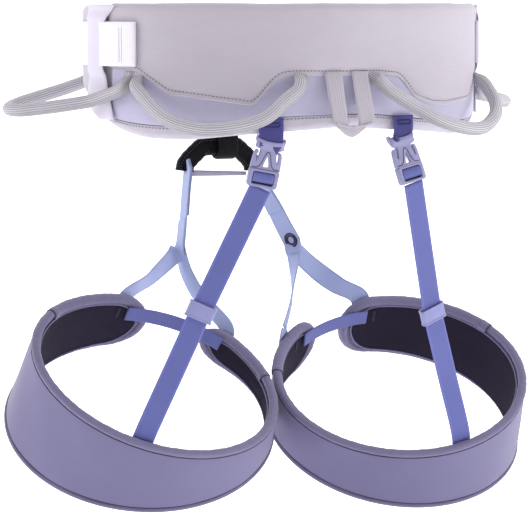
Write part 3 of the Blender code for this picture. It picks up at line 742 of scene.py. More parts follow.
def ripple(shape, scale_u, scale_v, seed, size):
    """Soft unevenness of sewn cloth."""
    gen = np.random.default_rng(seed)
    nu, nv = shape
    u = np.linspace(0, 1, nu)[:, None]
    v = np.linspace(0, 1, nv)[None]
    out = np.zeros(shape)
    for _ in range(9):
        fu, fv = gen.uniform(0.3, 1.0) * scale_u, gen.uniform(0.2, 1.0) * scale_v
        out += np.sin(2 * math.pi * (fu * u + fv * v) + gen.uniform(0, 6.28)) / 9
    return out * size * 2


def put(obj, body, *nodes):
    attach(obj, body)
    if nodes:
        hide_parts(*nodes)
    return obj


def bend(obj, a, b, path, first, last, *nodes):
    """Hides the given frame parts and bakes the piece's transform in place; a, b, path, first and last are not used.
    """
    if nodes:
        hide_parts(*nodes)
    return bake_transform(obj)


# ------------------------------------------------------------------ waist belt
def seam_line(table, soft, rise, depth, count):
    """Line at a distance above a panel's lower edge, from seam to seam."""
    return np.array([waist(a, depth, smooth_along(table, a, soft) + rise)
                     for a in np.linspace(-PANEL_END, PANEL_END, count)])


def out_of_belt(point):
    return np.array((point[0] / WAIST_A ** 2, point[1] / WAIST_B ** 2, 0.0))


def out_along(line):
    return unit(np.array([out_of_belt(p) for p in line]))


def from_edges(grid):
    """How far each point lies from the nearer long edge."""
    return np.minimum(np.linalg.norm(grid - grid[:, :1], axis=2), np.linalg.norm(grid - grid[:, -1:], axis=2))


SHELL_END = 75.0
angles = np.linspace(-SHELL_END, SHELL_END, 220)
flat_rows = np.concatenate([[0.0, 0.012, 0.03, 0.05, 0.075], np.linspace(0.12, 1.0, 12)])
turn = np.radians(np.linspace(20, 175, 9))
grid = []
for a in angles:
    low = smooth_along(SHELL_BOTTOM, a, 1.0)
    column = [waist(a, -0.7, low + (25.2 - low) * r) for r in flat_rows]
    column += [waist(a, -5.6 + 4.9 * math.cos(t), 25.2 + 4.9 * math.sin(t)) for t in turn]
    grid.append(column)
grid = np.array(grid)
nv = grid.shape[1]
drop = np.linalg.norm(grid - grid[:, :1], axis=2)
crown = 0.7 * (1 - np.exp(-(drop / 7.0) ** 2)) - 0.35 * np.exp(-((drop - 3.0) / 0.8) ** 2)
crown[:, len(flat_rows):] = crown[:, len(flat_rows) - 1:len(flat_rows)]
wrinkle = ripple(crown.shape, 6.0, 3.0, 3, 0.25) + ripple(crown.shape, 22.0, 1.5, 5, 0.08)
wrinkle *= np.clip(drop / 12.0, 0, 1)
shell = slab("belt_outer_panel", grid, 0.7 + crown + wrinkle, -0.7 + crown * 0.5, "shell", outward=out_of_belt)
put(shell, "waist", "waist_outer_panel")
edge = seam_line(SHELL_BOTTOM, 1.0, 3.0, 0.35, 400)
put(stitches("belt_outer_panel_stitch", edge, out_along(edge), 2.9, "thread_dark",
             length=0.55, thick=0.3, lift=0.02), "waist")

angles = np.linspace(-PANEL_END, PANEL_END, 180)
grid = []
for a in angles:
    low = smooth_along(LOWER_BOTTOM, a, 3.0)
    high = smooth_along(SHELL_BOTTOM, a, 1.0) + 6.0
    grid.append([waist(a, -2.35, low + (high - low) * r) for r in (0, 0.02, 0.05, 0.1, 0.2, 0.35, 0.5, 0.65, 0.8, 1)])
grid = np.array(grid)
drop = np.linalg.norm(grid - grid[:, :1], axis=2)
crown = 0.8 * (1 - np.exp(-(drop / 6.0) ** 2)) + ripple(drop.shape, 9.0, 2.0, 11, 0.25)
crown = np.minimum(crown, 1.2)
lower = slab("belt_lower_panel", grid, 0.5 + crown, -0.5, "lower", outward=out_of_belt)
put(lower, "waist", "waist_lower_panel")

# Dark seam where the lower panel meets the padding's rim, and the rim's own stitch line.
line = seam_line(LOWER_BOTTOM, 3.0, -0.2, -2.3, 260)
put(sweep("belt_rim_seam", line, (0, 0, 1), disc(0.45, 8), "thread_dark"), "waist")
line = seam_line(LOWER_BOTTOM, 3.0, -2.4, -2.9, 340)
put(stitches("belt_rim_stitch", line, out_along(line), 2.9, "thread_dark",
             length=0.5, thick=0.32, lift=0.0), "waist")


def side_shift(angle):
    return 2.9 * smooth_step((angle - 75.5) / 9.0)


PAD_TIP = 9.0      # degrees over which the padding's end rounds off


def pad_grid(depth, angles, rows, inset):
    """Grid between the padding's lower and upper edges, its front ends rounded."""
    grid = []
    for a in angles:
        end = min(1.0, max(0.0, (abs(a) - PAD_END + PAD_TIP) / PAD_TIP))
        narrow = inset + 14.0 * (1 - math.sqrt(1 - end ** 2))
        low = smooth_along(PAD_BOTTOM, abs(a), 3.0) + narrow
        high = smooth_along(PAD_TOP, abs(a), 3.0) - narrow
        grid.append([waist(a, depth + side_shift(abs(a)), low + (high - low) * r) for r in rows])
    return np.array(grid)


reach = PAD_END - PAD_TIP
ends = reach + PAD_TIP * np.sin(np.linspace(0, math.pi / 2, 10))[1:]
angles = np.concatenate([-ends[::-1], np.linspace(-reach, reach, 200), ends])
rows = 0.5 - 0.5 * np.cos(np.linspace(0, math.pi, 26))
grid = pad_grid(-6.8, angles, rows, 0.6)
drop = from_edges(grid)
side_gap = (PAD_END + 0.6 - np.abs(angles))[:, None] * 2.0
k = round_edge(np.minimum(drop, side_gap), 4.4)
seam = np.exp(-((drop - RIM + 2.4) / 1.0) ** 2) * 0.5
pad = slab("belt_padding", grid, 3.45 * k - seam, -3.45 * k, "pad", outward=out_of_belt, round_by=0.9)
flat = np.concatenate([drop.ravel(), drop.ravel(), np.zeros(len(pad.data.vertices) - 2 * drop.size)])
inflate(pad, np.where((flat < 1.0) | (np.abs(flat - RIM + 2.4) < 1.3), 1.0, 0.12), cap=0.9)
subdivide(pad)
put(pad, "waist", "waist_foam")

# Mesh lining, quilted in channels along the belt.
angles = np.linspace(-PAD_END + 2, PAD_END - 2, 180)
rows = np.linspace(0, 1, 36)
grid = pad_grid(-11.25, angles, rows, 4.0)
tall = np.linalg.norm(grid - grid[:, :1], axis=2)
full = tall[:, -1:]
quilt = np.zeros(tall.shape)
for share in (0.0, 0.36, 0.68, 1.0):
    quilt = np.maximum(quilt, np.exp(-((tall - full * share) / 2.2) ** 2))
lining = slab("belt_lining", grid, 0.5, -0.5 - 0.9 * (1 - quilt), "mesh", outward=out_of_belt)
put(lining, "waist", "waist_lining")
for number, share in enumerate((0.36, 0.68)):
    line = np.array([g[int(share * 35 + 0.5)] for g in grid])
    line = line - out_along(line) * 0.75
    put(stitches(f"belt_lining_stitch_{number}", line, -out_along(line), 3.2,
                 "thread_dark", thick=0.3), "waist")

# Sleeve that holds the webbing at the side, its edges cut in a curve.
SLEEVE_NEAR = ((-57, 72.5), (-35, 75.2), (-17, 77.0), (12, 77.4), (22, 74.5), (30, 71.5))
SLEEVE_FAR = ((-57, 91), (-35, 89), (-17, 86.5), (12, 86.5), (30, 88))
for side, s in SIGN.items():
    grid = []
    for r in np.linspace(0, 1, 46):
        z = -57.0 + 87.0 * r
        lift = smooth_step((17.0 + 9.0 - abs(z - 0.5)) / 7.0)
        near, far = along(SLEEVE_NEAR, z), along(SLEEVE_FAR, z)
        row = []
        for c in np.linspace(0, 1, 11):
            a = near + (far - near) * c
            bottom = smooth_along(PAD_BOTTOM, a, 3.0) + 1.0
            row.append(waist(s * a, 1.1 + lift * 2.3 + 0.5 * math.sin(math.pi * c), max(z, bottom + (z + 57) * 0.02)))
        grid.append(row)
    sleeve = slab(f"belt_sleeve_{side}", np.array(grid), 0.55, -0.55, "sleeve", outward=out_of_belt)
    put(sleeve, "waist", f"side_sleeve_{side}")
    line = np.array([g[0] for g in grid])
    line = np.array([p + unit(out_of_belt(p)) * 0.3 for p in line]) + waist_tangent(s * 80) * s * 1.6
    put(stitches(f"belt_sleeve_stitch_{side}", line, out_along(line), 2.6,
                 "thread_pale", thick=0.28, lift=0.35), "waist")

# Waist webbing: doubled back on itself at its sewn end, then on to the front buckle's bar.
WEBBING = tape(34.0, 1.7, 15)
FOLD_ANGLE = 62.9
for side, s in SIGN.items():
    outer = [waist(s * a, 3.6, WEB_Z) for a in np.linspace(78.5, FOLD_ANGLE, 12)]
    fold = [waist(s * (FOLD_ANGLE - 0.55 * math.sin(t)), 2.45 + 1.15 * math.cos(t), WEB_Z)
            for t in np.radians((40, 90, 140))]
    inner = [waist(s * a, 1.3, WEB_Z) for a in np.linspace(FOLD_ANGLE + 0.3, 140.5, 44)]
    put(sweep(f"waist_webbing_{side}", outer + fold + inner, (0, 0, 1), WEBBING, "webbing"),
        "waist", f"waist_webbing_{side}")
    for number, a in enumerate((67.4, 68.4)):
        column = np.array([waist(s * a, 4.45, z) for z in np.linspace(-13, 14, 60)])
        put(stitches(f"waist_webbing_tack_{side}_{number}", column, unit(out_of_belt(column[0])), 1.2,
                     "thread_pale", length=0.9, thick=0.35, lift=0.05, cross=(1.4 if number else -1.4)), "waist")

front = [waist(a, 1.3, WEB_Z) for a in np.linspace(BUCKLE_ANGLE + 9.0, 351.0 - BUCKLE_ANGLE, 25)]
put(sweep("tie_in_webbing", front, (0, 0, 1), WEBBING, "webbing"), "waist", "tie_in_webbing")


# ------------------------------------------------------------------ front buckles
def rounded_box(w, h, r, n=6):
    pts = []
    for cx, cy, start in ((w / 2 - r, h / 2 - r, 0), (-w / 2 + r, h / 2 - r, 90), (-w / 2 + r, -h / 2 + r, 180),
                          (w / 2 - r, -h / 2 + r, 270)):
        for i in range(n + 1):
            t = math.radians(start + 90 * i / n)
            pts.append((cx + r * math.cos(t), cy + r * math.sin(t)))
    return np.array(pts)


def lozenge(w, t, soft=0.45, n=5):
    """Rounded-rectangle section of a stamped or moulded frame."""
    return rounded_box(w, t, soft * min(w, t), n)


def wire_frame(name, at, ex, outline, section, body):
    """Metal frame standing upright on the belt, its section carried round the outline."""
    ring = np.array([at + ex * x + UP * y for x, y in outline])
    put(sweep(name, ring, unit(ring - at), section, "alloy", closed=True), body, name)


for side, s in SIGN.items():
    ex = waist_tangent(s * BUCKLE_ANGLE)
    at = waist(s * BUCKLE_ANGLE, 2.0, WEB_Z)
    wire_frame(f"waist_buckle_frame_{side}", at, ex, rounded_box(38.2, 42.0, 6.0, 8), lozenge(5.4, 3.0), "waist")
    bar = np.array([at + UP * z for z in np.linspace(-21, 21, 12)])
    put(sweep(f"waist_buckle_bar_{side}", bar, ex, lozenge(5.6, 2.8), "alloy"), "waist")
    wire_frame(f"waist_buckle_slider_{side}", waist(s * BUCKLE_ANGLE, 7.3, WEB_Z), ex,
               rounded_box(19.2, 38.4, 4.0, 8), lozenge(5.2, 2.3), f"waist_slider_{side}")

# ------------------------------------------------------------------ front anchors
FRONT_Y = WAIST_B + 1.0
LOOP_TOP = -31.0
BRIDGE_X, BRIDGE_Z = -5.0, -89.0
anchor = curve_through(((-31, FRONT_Y, -22), (-27, FRONT_Y, -26), (-14, FRONT_Y, -31), (14, FRONT_Y, -31),
                        (27, FRONT_Y, -26), (31, FRONT_Y, -22)), 40)


def oval(a, b, n=20, power=2.6):
    t = np.arange(n) * 2 * math.pi / n
    c, q = np.cos(t), np.sin(t)
    return np.stack([a * np.sign(c) * np.abs(c) ** (2 / power), b * np.sign(q) * np.abs(q) ** (2 / power)], 1)


put(sweep("tie_in_sleeve_upper", anchor, (0, 1, 0), oval(4.0, 4.0), "black"), "waist", "tie_in_sleeve_upper")
arch = curve_through([(BRIDGE_X + x * 30, FRONT_Y, BRIDGE_Z - fall) for x, fall in (
    (-1.05, 20.0), (-1.02, 15.0), (-0.90, 10.2), (-0.72, 5.2), (-0.55, 0.9), (-0.42, 0), (0.42, 0), (0.55, 0.9),
    (0.72, 5.2), (0.90, 10.2), (1.02, 15.0), (1.05, 20.0))], 70)
waves = 1 + 0.02 * np.sin(np.arange(70) * 1.1)
put(sweep("bridge_sleeve", arch, (0, 1, 0), oval(4.6, 7.6, 24, 3.4), "black", scale=np.stack([waves, waves], 1)),
    "belay_loop", "bridge_sleeve")
sidewise = np.cross(unit(np.gradient(arch, axis=0)), np.array((0, 1.0, 0)))
for number, shift in enumerate((-5.6, 5.6)):
    for face in (-1, 1):
        line = arch + sidewise * shift + np.array((0, face * 4.55, 0))
        put(stitches(f"bridge_sleeve_stitch_{number}_{'rear' if face < 0 else 'front'}", line, (0, face, 0), 2.6,
                     "thread_dark", thick=0.4, lift=0.1), "belay_loop")
strap = np.array([(BRIDGE_X + (i / 10 - 1) * 25, FRONT_Y, BRIDGE_Z - 22 - 0.08 * i) for i in range(21)])
put(sweep("bridge_strap", strap, (0, 0, 1), tape(4.5, 2.0, 5), "thin",
          scale=np.stack([np.linspace(1.15, 0.75, 21), np.ones(21)], 1)), "belay_loop", "bridge_strap")
BELAY_R = 9.05
loop = []
for q0, z0, z1 in ((0, LOOP_TOP, BRIDGE_Z), (math.pi, BRIDGE_Z, LOOP_TOP)):
    turn = np.linspace(q0, q0 + math.pi, 14)
    loop += [(0.0, FRONT_Y + BELAY_R * math.cos(q), z0 + BELAY_R * math.sin(q)) for q in turn]
    loop += [(0.0, FRONT_Y - BELAY_R * math.cos(q0), z) for z in np.linspace(z0, z1, 12)[1:-1]]
belay = sweep("belay_loop", np.array(loop), (1, 0, 0), tape(18.0, 3.6, 11), "black", closed=True)
put(belay, "belay_loop", "belay_loop")
for number, x in enumerate((-6.6, -3.3, 3.3, 6.6)):
    line = np.array([(x, FRONT_Y + BELAY_R + 1.8, z) for z in np.linspace(-38, -82, 50)])
    put(stitches(f"belay_loop_stitch_{number}", line, (0, 1, 0), 1.9, "thread_violet", thick=0.35), "belay_loop")

# ------------------------------------------------------------------ leg loops
LEG_TIP = 13.0     # degrees over which a padded end rounds off
CUFF = {"left": (-93.0, 133.0), "right": (-104.0, 113.0)}


def leg_angles(side, pull=0.0, middle=150, end=11):
    """Stations along the band, closer together in its rounded ends."""
    a0, a1 = LEG[side]["ends"]
    a0, a1 = a0 + pull, a1 - pull
    t = np.linspace(0, math.pi / 2, end)
    return np.concatenate([a0 + LEG_TIP - LEG_TIP * np.cos(t)[:-1], np.linspace(a0 + LEG_TIP, a1 - LEG_TIP, middle),
                           a1 - LEG_TIP + LEG_TIP * np.sin(t)[1:]])


def leg_edges(side, a, pull=0.0):
    """Shares of the band's height at which it starts and ends at an angle."""
    a0, a1 = LEG[side]["ends"]
    e = min(1.0, max(0.0, 1 - min(a - a0 - pull, a1 - pull - a) / LEG_TIP))
    k = 1 - math.sqrt(1 - e * e)
    return 0.42 * k, 1 - 0.50 * k


def out_of_leg(side, angles, v):
    return np.array([unit(wall(side, a, v, 1.0) - wall(side, a, v)) for a in angles])


def at_nearest(values, centre, line):
    """For each point of a line, the value that belongs to the nearest centre."""
    return values[[int(np.argmin(np.linalg.norm(centre - p, axis=1))) for p in line]]


def uneven(count, size, *waves):
    """Section sizes along a binding, with the small waves that sewing leaves."""
    size = size * (1 + sum(k * np.sin(np.arange(count) * f + shift) for k, f, shift in waves))
    return np.stack([size, size], 1)


def leg_out(side):
    centre = np.array((SIGN[side] * 110.0, 10.0, -285.0))

    def outward(p):
        d = p - centre
        return np.array((d[0], d[1], 0.0))
    return outward


def leg_line(side, angles, share, inset, offset, pull=0.0):
    """A line along the upper (share 0) or lower (share 1) edge, inset mm into the band."""
    out = []
    for a in angles:
        low, high = leg_edges(side, a, pull)
        v = low if share == 0 else high
        p = wall(side, a, v, offset)
        into = unit(wall(side, a, 1, offset) - wall(side, a, 0, offset)) * (1 if share == 0 else -1)
        out.append(p + into * inset)
    return np.array(out)


for side, s in SIGN.items():
    body = f"leg_loop_{side}"
    outward = leg_out(side)
    angles = leg_angles(side)
    rows = 0.5 - 0.5 * np.cos(np.linspace(0, math.pi, 18))
    grid = []
    for a in angles:
        low, high = leg_edges(side, a)
        grid.append([wall(side, a, low + (high - low) * r) for r in rows])
    grid = np.array(grid)
    drop = from_edges(grid)
    k = round_edge(drop, 3.6)
    soft = ripple(drop.shape, 14.0, 2.0, 21 + int(s), 0.35) * np.clip(drop / 9.0, 0, 1)
    pad = slab(f"leg_padding_{side}", grid, 2.8 * k + soft, -2.9 * k, "leg", outward=outward, round_by=0.9)
    n = drop.size
    flat = np.concatenate([drop.ravel(), drop.ravel(), np.zeros(len(pad.data.vertices) - 2 * n)])
    inside = np.concatenate([np.zeros(n), np.ones(n), np.ones(len(pad.data.vertices) - 2 * n)])
    inflate(pad, np.where((flat < 4.5) | (inside > 0), 1.0, 0.1), cap=1.3)
    subdivide(pad)
    put(pad, body, f"leg_foam_{side}")

    # Binding rolled over the edge: thin round the back, thick round the front ends.
    a0, a1 = LEG[side]["ends"]
    inner_cuff, outer_cuff = CUFF[side]
    back = np.linspace(inner_cuff - 1, outer_cuff + 1, 160)
    line = leg_line(side, back, 0, 1.5, 0.0)
    put(sweep(f"leg_binding_back_{side}", line, out_of_leg(side, back, 0), oval(3.7, 2.9, 18, 2.0), "rim",
              scale=uneven(160, 1.0, (0.035, 1.9, 0), (0.03, 0.83, 0))), body)
    line = leg_line(side, back, 0, 4.3, 2.75)
    put(sweep(f"leg_binding_seam_{side}", line, out_of_leg(side, back, 0), disc(0.45, 8), "thread_dark"), body)
    for end, stations in (("outer", angles[angles > outer_cuff]), ("inner", angles[angles < inner_cuff][::-1])):
        top = leg_line(side, stations, 0, 2.4, -0.2)
        low = leg_line(side, stations, 1, 1.6, -0.2)[::-1]
        line = even(np.concatenate([top, low[1:]]), 150)
        centre = np.array([wall(side, a, 0.5) for a in stations])
        normals = at_nearest(out_of_leg(side, stations, 0.5), centre, line)
        size = np.interp(np.linspace(0, 1, 150), (0, 0.5, 0.62, 1.0), (1.0, 1.0, 0.78, 0.62))
        put(sweep(f"leg_binding_{end}_{side}", line, normals, oval(4.5, 4.3, 20, 2.0), "rim",
                  scale=uneven(150, size, (0.02, 1.3, 0), (0.02, 0.47, 1))), body)
        cuff = sweep(f"leg_cuff_{end}_{side}", line[:5], normals[:5], oval(4.85, 4.65, 20, 2.0), "rim")
        put(cuff, body)
        put(sweep(f"leg_cuff_thread_{end}_{side}", line[0] + (line[:3] - line[1]) * 0.3, normals[:3],
                  oval(4.75, 4.55, 20, 2.0), "thread_dark"), body)

    # Lower edge: piping under a dark seam.
    line = leg_line(side, back, 1, 1.2, 0.3)
    put(sweep(f"leg_piping_{side}", line, out_of_leg(side, back, 1), oval(3.3, 2.2, 16, 2.0), "rim"), body)
    line = leg_line(side, back, 1, 3.7, 2.7)
    put(sweep(f"leg_piping_seam_{side}", line, out_of_leg(side, back, 1), disc(0.45, 8), "thread_dark"), body)

    # Mesh lining with its own fine piping, and a bar tack where each front elastic is sewn on.
    inner = leg_angles(side, pull=3.0, middle=120)
    rows = np.linspace(0, 1, 14)
    grid = []
    for a in inner:
        low, high = leg_edges(side, a, 3.0)
        tall = np.linalg.norm(wall(side, a, 1) - wall(side, a, 0))
        a_low, a_high = low + 5.0 / tall, high - 3.6 / tall
        grid.append([wall(side, a, a_low + (a_high - a_low) * r, -3.9) for r in rows])
    grid = np.array(grid)
    drop = from_edges(grid)
    fullness = 0.8 * (1 - np.exp(-(drop / 6.0) ** 2)) + ripple(drop.shape, 11.0, 1.5, 31, 0.2)
    lining = slab(f"leg_lining_{side}", grid, 0.45, -0.45 - np.maximum(fullness - 0.2, 0), "mesh", outward=outward)
    put(lining, body, f"leg_lining_{side}")
    border = np.concatenate([grid[:, 0], grid[-1, 1:], grid[::-1, -1][1:], grid[0, ::-1][1:-1]])
    border = even(np.concatenate([border, border[:1]]), 420)[:-1]
    middle = np.array([wall(side, a, 0.5) for a in inner])
    normals = at_nearest(out_of_leg(side, inner, 0.5), middle, border)
    put(sweep(f"leg_lining_piping_{side}", border - normals * 0.5, normals, disc(0.75, 8), "cord_rim", closed=True),
        body)
    for end, a in (("outer", a1 - 14.0), ("inner", a0 + (4.0 if side == "left" else 16.0))):
        towards = unit(wall(side, a, 0.5, -1.0) - wall(side, a, 0.5, 0.0))
        for q in range(3):
            line = np.array([wall(side, a + (q - 1) * 0.5, v, -5.2) for v in np.linspace(0.17, 0.36, 8)])
            put(stitches(f"leg_tack_{end}_{side}_{q}", line, towards, 0.9, "thread_dark", length=1.2, thick=0.32,
                         cross=0.8), body)

    # Elastic across the front gap.
    span = np.linspace(a1 - 10.0, 360.0 + a0 + 10.0, 40)
    depth = -(LEG_FOAM_T / 2 + 0.9 + 0.75 + 0.9 + 0.8)
    path = np.array([wall(side, a, 0.26, depth) for a in span])
    across = np.array([wall(side, a, 0.8) - wall(side, a, 0.2) for a in span])
    put(sweep(f"leg_elastic_{side}", path, across, tape(13.0, 1.5), "elastic"), body, f"leg_elastic_{side}")

# ------------------------------------------------------------------ risers
LEG_AXIS = {"left": (-36.0, FRONT_Y, -106.0), "right": (26.0, FRONT_Y, -106.0)}
STEM = {
    "left": ((-1, -6.5, -7), (-3.5, -9, -20), (-8.5, -15, -50), (-11.5, -18.5, -64)),
    "right": ((1, -6, -6), (6.5, -8, -18), (13.5, -11.5, -32), (22.5, -16, -52), (29.5, -19, -66)),
}
OUTER_BOW = {"left": (0.0, 3.0, -4.0), "right": (0.0, 3.0, -3.0)}
INNER_BOW = {"left": (-4.0, 13.0, 0.0), "right": (6.0, 4.0, -2.0)}
STEM_FACE = {"left": (0.05, 1.0, 0.0), "right": (0.1, 1.0, 0.0)}
OUTSIDE = 3.0 + 0.65 + 1.0


def bowed(start, end, bow, count):
    start, end, bow = np.array(start, float), np.array(end, float), np.array(bow, float)
    return [tuple(start + (end - start) * t + bow * 4 * t * (1 - t)) for t in (i / count for i in range(count))]


def lie_on_wall(side, angle, v, path, start):
    """Width directions of a tape that starts with the given one and ends flat on the band."""
    run = unit(np.gradient(path, axis=0))
    flat = unit(np.cross(out_of_leg(side, [angle], v), run))
    flip = flat @ unit(start) < 0
    flat[flip] *= -1
    t = smooth_step(np.linspace(0, 1.45, len(path)))[:, None]
    return unit(unit(start)[None] * (1 - t) + flat * t)


for side, s in SIGN.items():
    a0, a1 = LEG[side]["ends"]
    out_at, in_at = a1 - 10.0, a0 + (9.0 if side == "left" else 20.0)
    face = np.array(STEM_FACE[side])
    axis_at = np.array(LEG_AXIS[side])
    top = [axis_at + (0.0, -1.0, 5.0), axis_at + (-s * 0.3, -3.5, -1.5)]
    stem = curve_through(top + [axis_at + step for step in STEM[side]], 60)
    base = stem[-1]
    lead, foot = wall(side, out_at + 2.0, 0.02, OUTSIDE + 1.5), wall(side, out_at, 0.42, OUTSIDE)
    start_out = np.array((s * 0.5, 0.30, 0.84))
    if side == "left":
        start = [stem[-16] + (-0.4, 1.0, 0.0), base + (-1.2, 1.0, 0.0), base + (-6.0, 1.0, -8.0)]
        turned = (start[-1] + lead) / 2 + (0.0, 2.0, -3.0)
        outer = curve_through(start + [turned, lead, foot], 90)
    else:
        outer = curve_through(bowed(base + (s * 3.0, 1.2, -7.0), lead, OUTER_BOW[side], 3) + [lead, foot], 90)
    wide_out = lie_on_wall(side, out_at, 0.3, outer, start_out)
    if side == "left":
        share = smooth_step((np.arange(90) - 14) / 26)[:, None]
        wide_out = unit(unit(face)[None] * (1 - share) + wide_out * share)
    lead, foot = wall(side, in_at - 1.0, -0.10, OUTSIDE + 1.5), wall(side, in_at, 0.36, OUTSIDE)
    inner = curve_through([stem[-9] + (0, 1.4, 0)] + bowed(base + (0.0, 0.6, -1.0), lead, INNER_BOW[side], 3)
                          + [lead, foot], 90)
    open_face = np.array((0.05, 1.0, 0.0)) if side == "left" else np.array((-0.78, 0.62, 0.0))
    share = np.linspace(0, 1, 60)[:, None]
    stem_wide = unit(face[None] * (1 - share) + open_face[None] * share)
    wide_in = lie_on_wall(side, in_at, 0.2, inner, open_face)

    leg = f"leg_loop_{side}"
    bend(sweep(f"riser_stem_{side}", stem, stem_wide, tape(16.0, 1.3), "riser"),
         "belay_loop", "waist", stem, 8, -12, f"riser_{side}_stem")
    ply = stem[:44] + np.cross(unit(np.gradient(stem, axis=0)), stem_wide)[:44] * (1.5 if side == "left" else -1.5)
    bend(sweep(f"riser_ply_{side}", ply, stem_wide[:44], tape(15.6, 1.2), "riser"),
         "belay_loop", "waist", stem, 8, -12)
    bend(sweep(f"riser_outer_{side}", outer, wide_out, tape(16.4, 1.3), "riser"),
         "waist", leg, outer, 24, 66, f"riser_{side}_outer")
    bend(sweep(f"riser_inner_{side}", inner, wide_in, tape(14.6, 1.3), "riser"),
         "waist", leg, inner, 24, 66, f"riser_{side}_inner")

    # Worked eyelet near the fork.
    run = unit(stem[-1] - stem[-3])
    across = unit(stem_wide[-1] - run * np.dot(stem_wide[-1], run))
    rear = np.cross(run, across)
    rear = rear if np.dot(rear, (0.42, 0.91, 0.0)) < 0 else -rear
    for number, radius in enumerate((3.1, 4.7)):
        ring = np.array([stem[-3] + rear * 0.75 + run * radius * 1.25 * math.cos(t) + across * radius * math.sin(t)
                         for t in np.linspace(0, 2 * math.pi, 40)])
        put(stitches(f"riser_eyelet_{side}_{number}", ring, rear, 0.95, "thread_dark", length=2.2, thick=0.55,
                     cross=1.6 if number else -1.6), "waist")

# ------------------------------------------------------------------ rear buckles, straps, keepers
TAB_ANGLE = {"left": 21.0, "right": 18.5}
BUCKLE_LEAN = {"left": (-0.153, 0.182, -0.970), "right": (0.233, -0.175, -0.955)}
BUCKLE_FACE = {"left": 21.0, "right": 6.0}
BUCKLE_L = 34.8
STRAP = tape(17.4, 1.5, 11)
STRAP_FOOT = {"left": (22.0, 0.20), "right": (12.0, 0.20)}
KEEPER_BOW = {"left": (-1.5, 0.5, 0.0), "right": (-5.0, 0.0, 0.0)}


def plate(name, outline, holes, thickness, frame, mat, soft=0.55, shift=0.0):
    """Moulded plate with rounded edges. outline and holes lie in the plane of frame."""
    origin, ex, ey = frame
    ez = np.cross(ex, ey)
    made = []
    for number, pts in enumerate([outline] + list(holes)):
        depth = thickness if number == 0 else thickness * 3
        bm = bmesh.new()
        low = [bm.verts.new(Vector((x * MM, y * MM, -depth / 2 * MM))) for x, y in pts]
        face = bm.faces.new(low)
        top = bmesh.ops.extrude_face_region(bm, geom=[face])["geom"]
        bmesh.ops.translate(bm, verts=[g for g in top if isinstance(g, bmesh.types.BMVert)], vec=(0, 0, depth * MM))
        bmesh.ops.recalc_face_normals(bm, faces=bm.faces)
        mesh = bpy.data.meshes.new(name if number == 0 else f"{name}_hole_{number}")
        bm.to_mesh(mesh)
        bm.free()
        made.append(link(mesh.name, mesh))
    main = made[0]
    for cutter in made[1:]:
        cut = main.modifiers.new("hole", "BOOLEAN")
        cut.operation = "DIFFERENCE"
        cut.solver = "EXACT"
        cut.object = cutter
    edge = main.modifiers.new("rounding", "BEVEL")
    edge.width = soft * MM
    edge.segments = 3
    edge.limit_method = "ANGLE"
    edge.angle_limit = math.radians(35)
    graph = bpy.context.evaluated_depsgraph_get()
    mesh = bpy.data.meshes.new_from_object(main.evaluated_get(graph))
    for obj in made:
        bpy.data.objects.remove(obj, do_unlink=True)
    co = points_of(mesh)
    flat = co[:, :2].copy()
    co = np.asarray(origin) * MM + co[:, :1] * ex + co[:, 1:2] * ey + (co[:, 2:] + shift * MM) * ez
    mesh.vertices.foreach_set("co", co.ravel())
    set_uvs(mesh, flat)
    mesh.materials.clear()
    mesh.materials.append(M[mat])
    obj = link(name, mesh)
    fix_normals(obj)
    mesh.set_sharp_from_angle(angle=math.radians(40))
    return obj


def mirrored(right):
    """Outline of a left-right symmetric shape from its right half, top to bottom."""
    return right + [(-x, y) for x, y in reversed(right)]


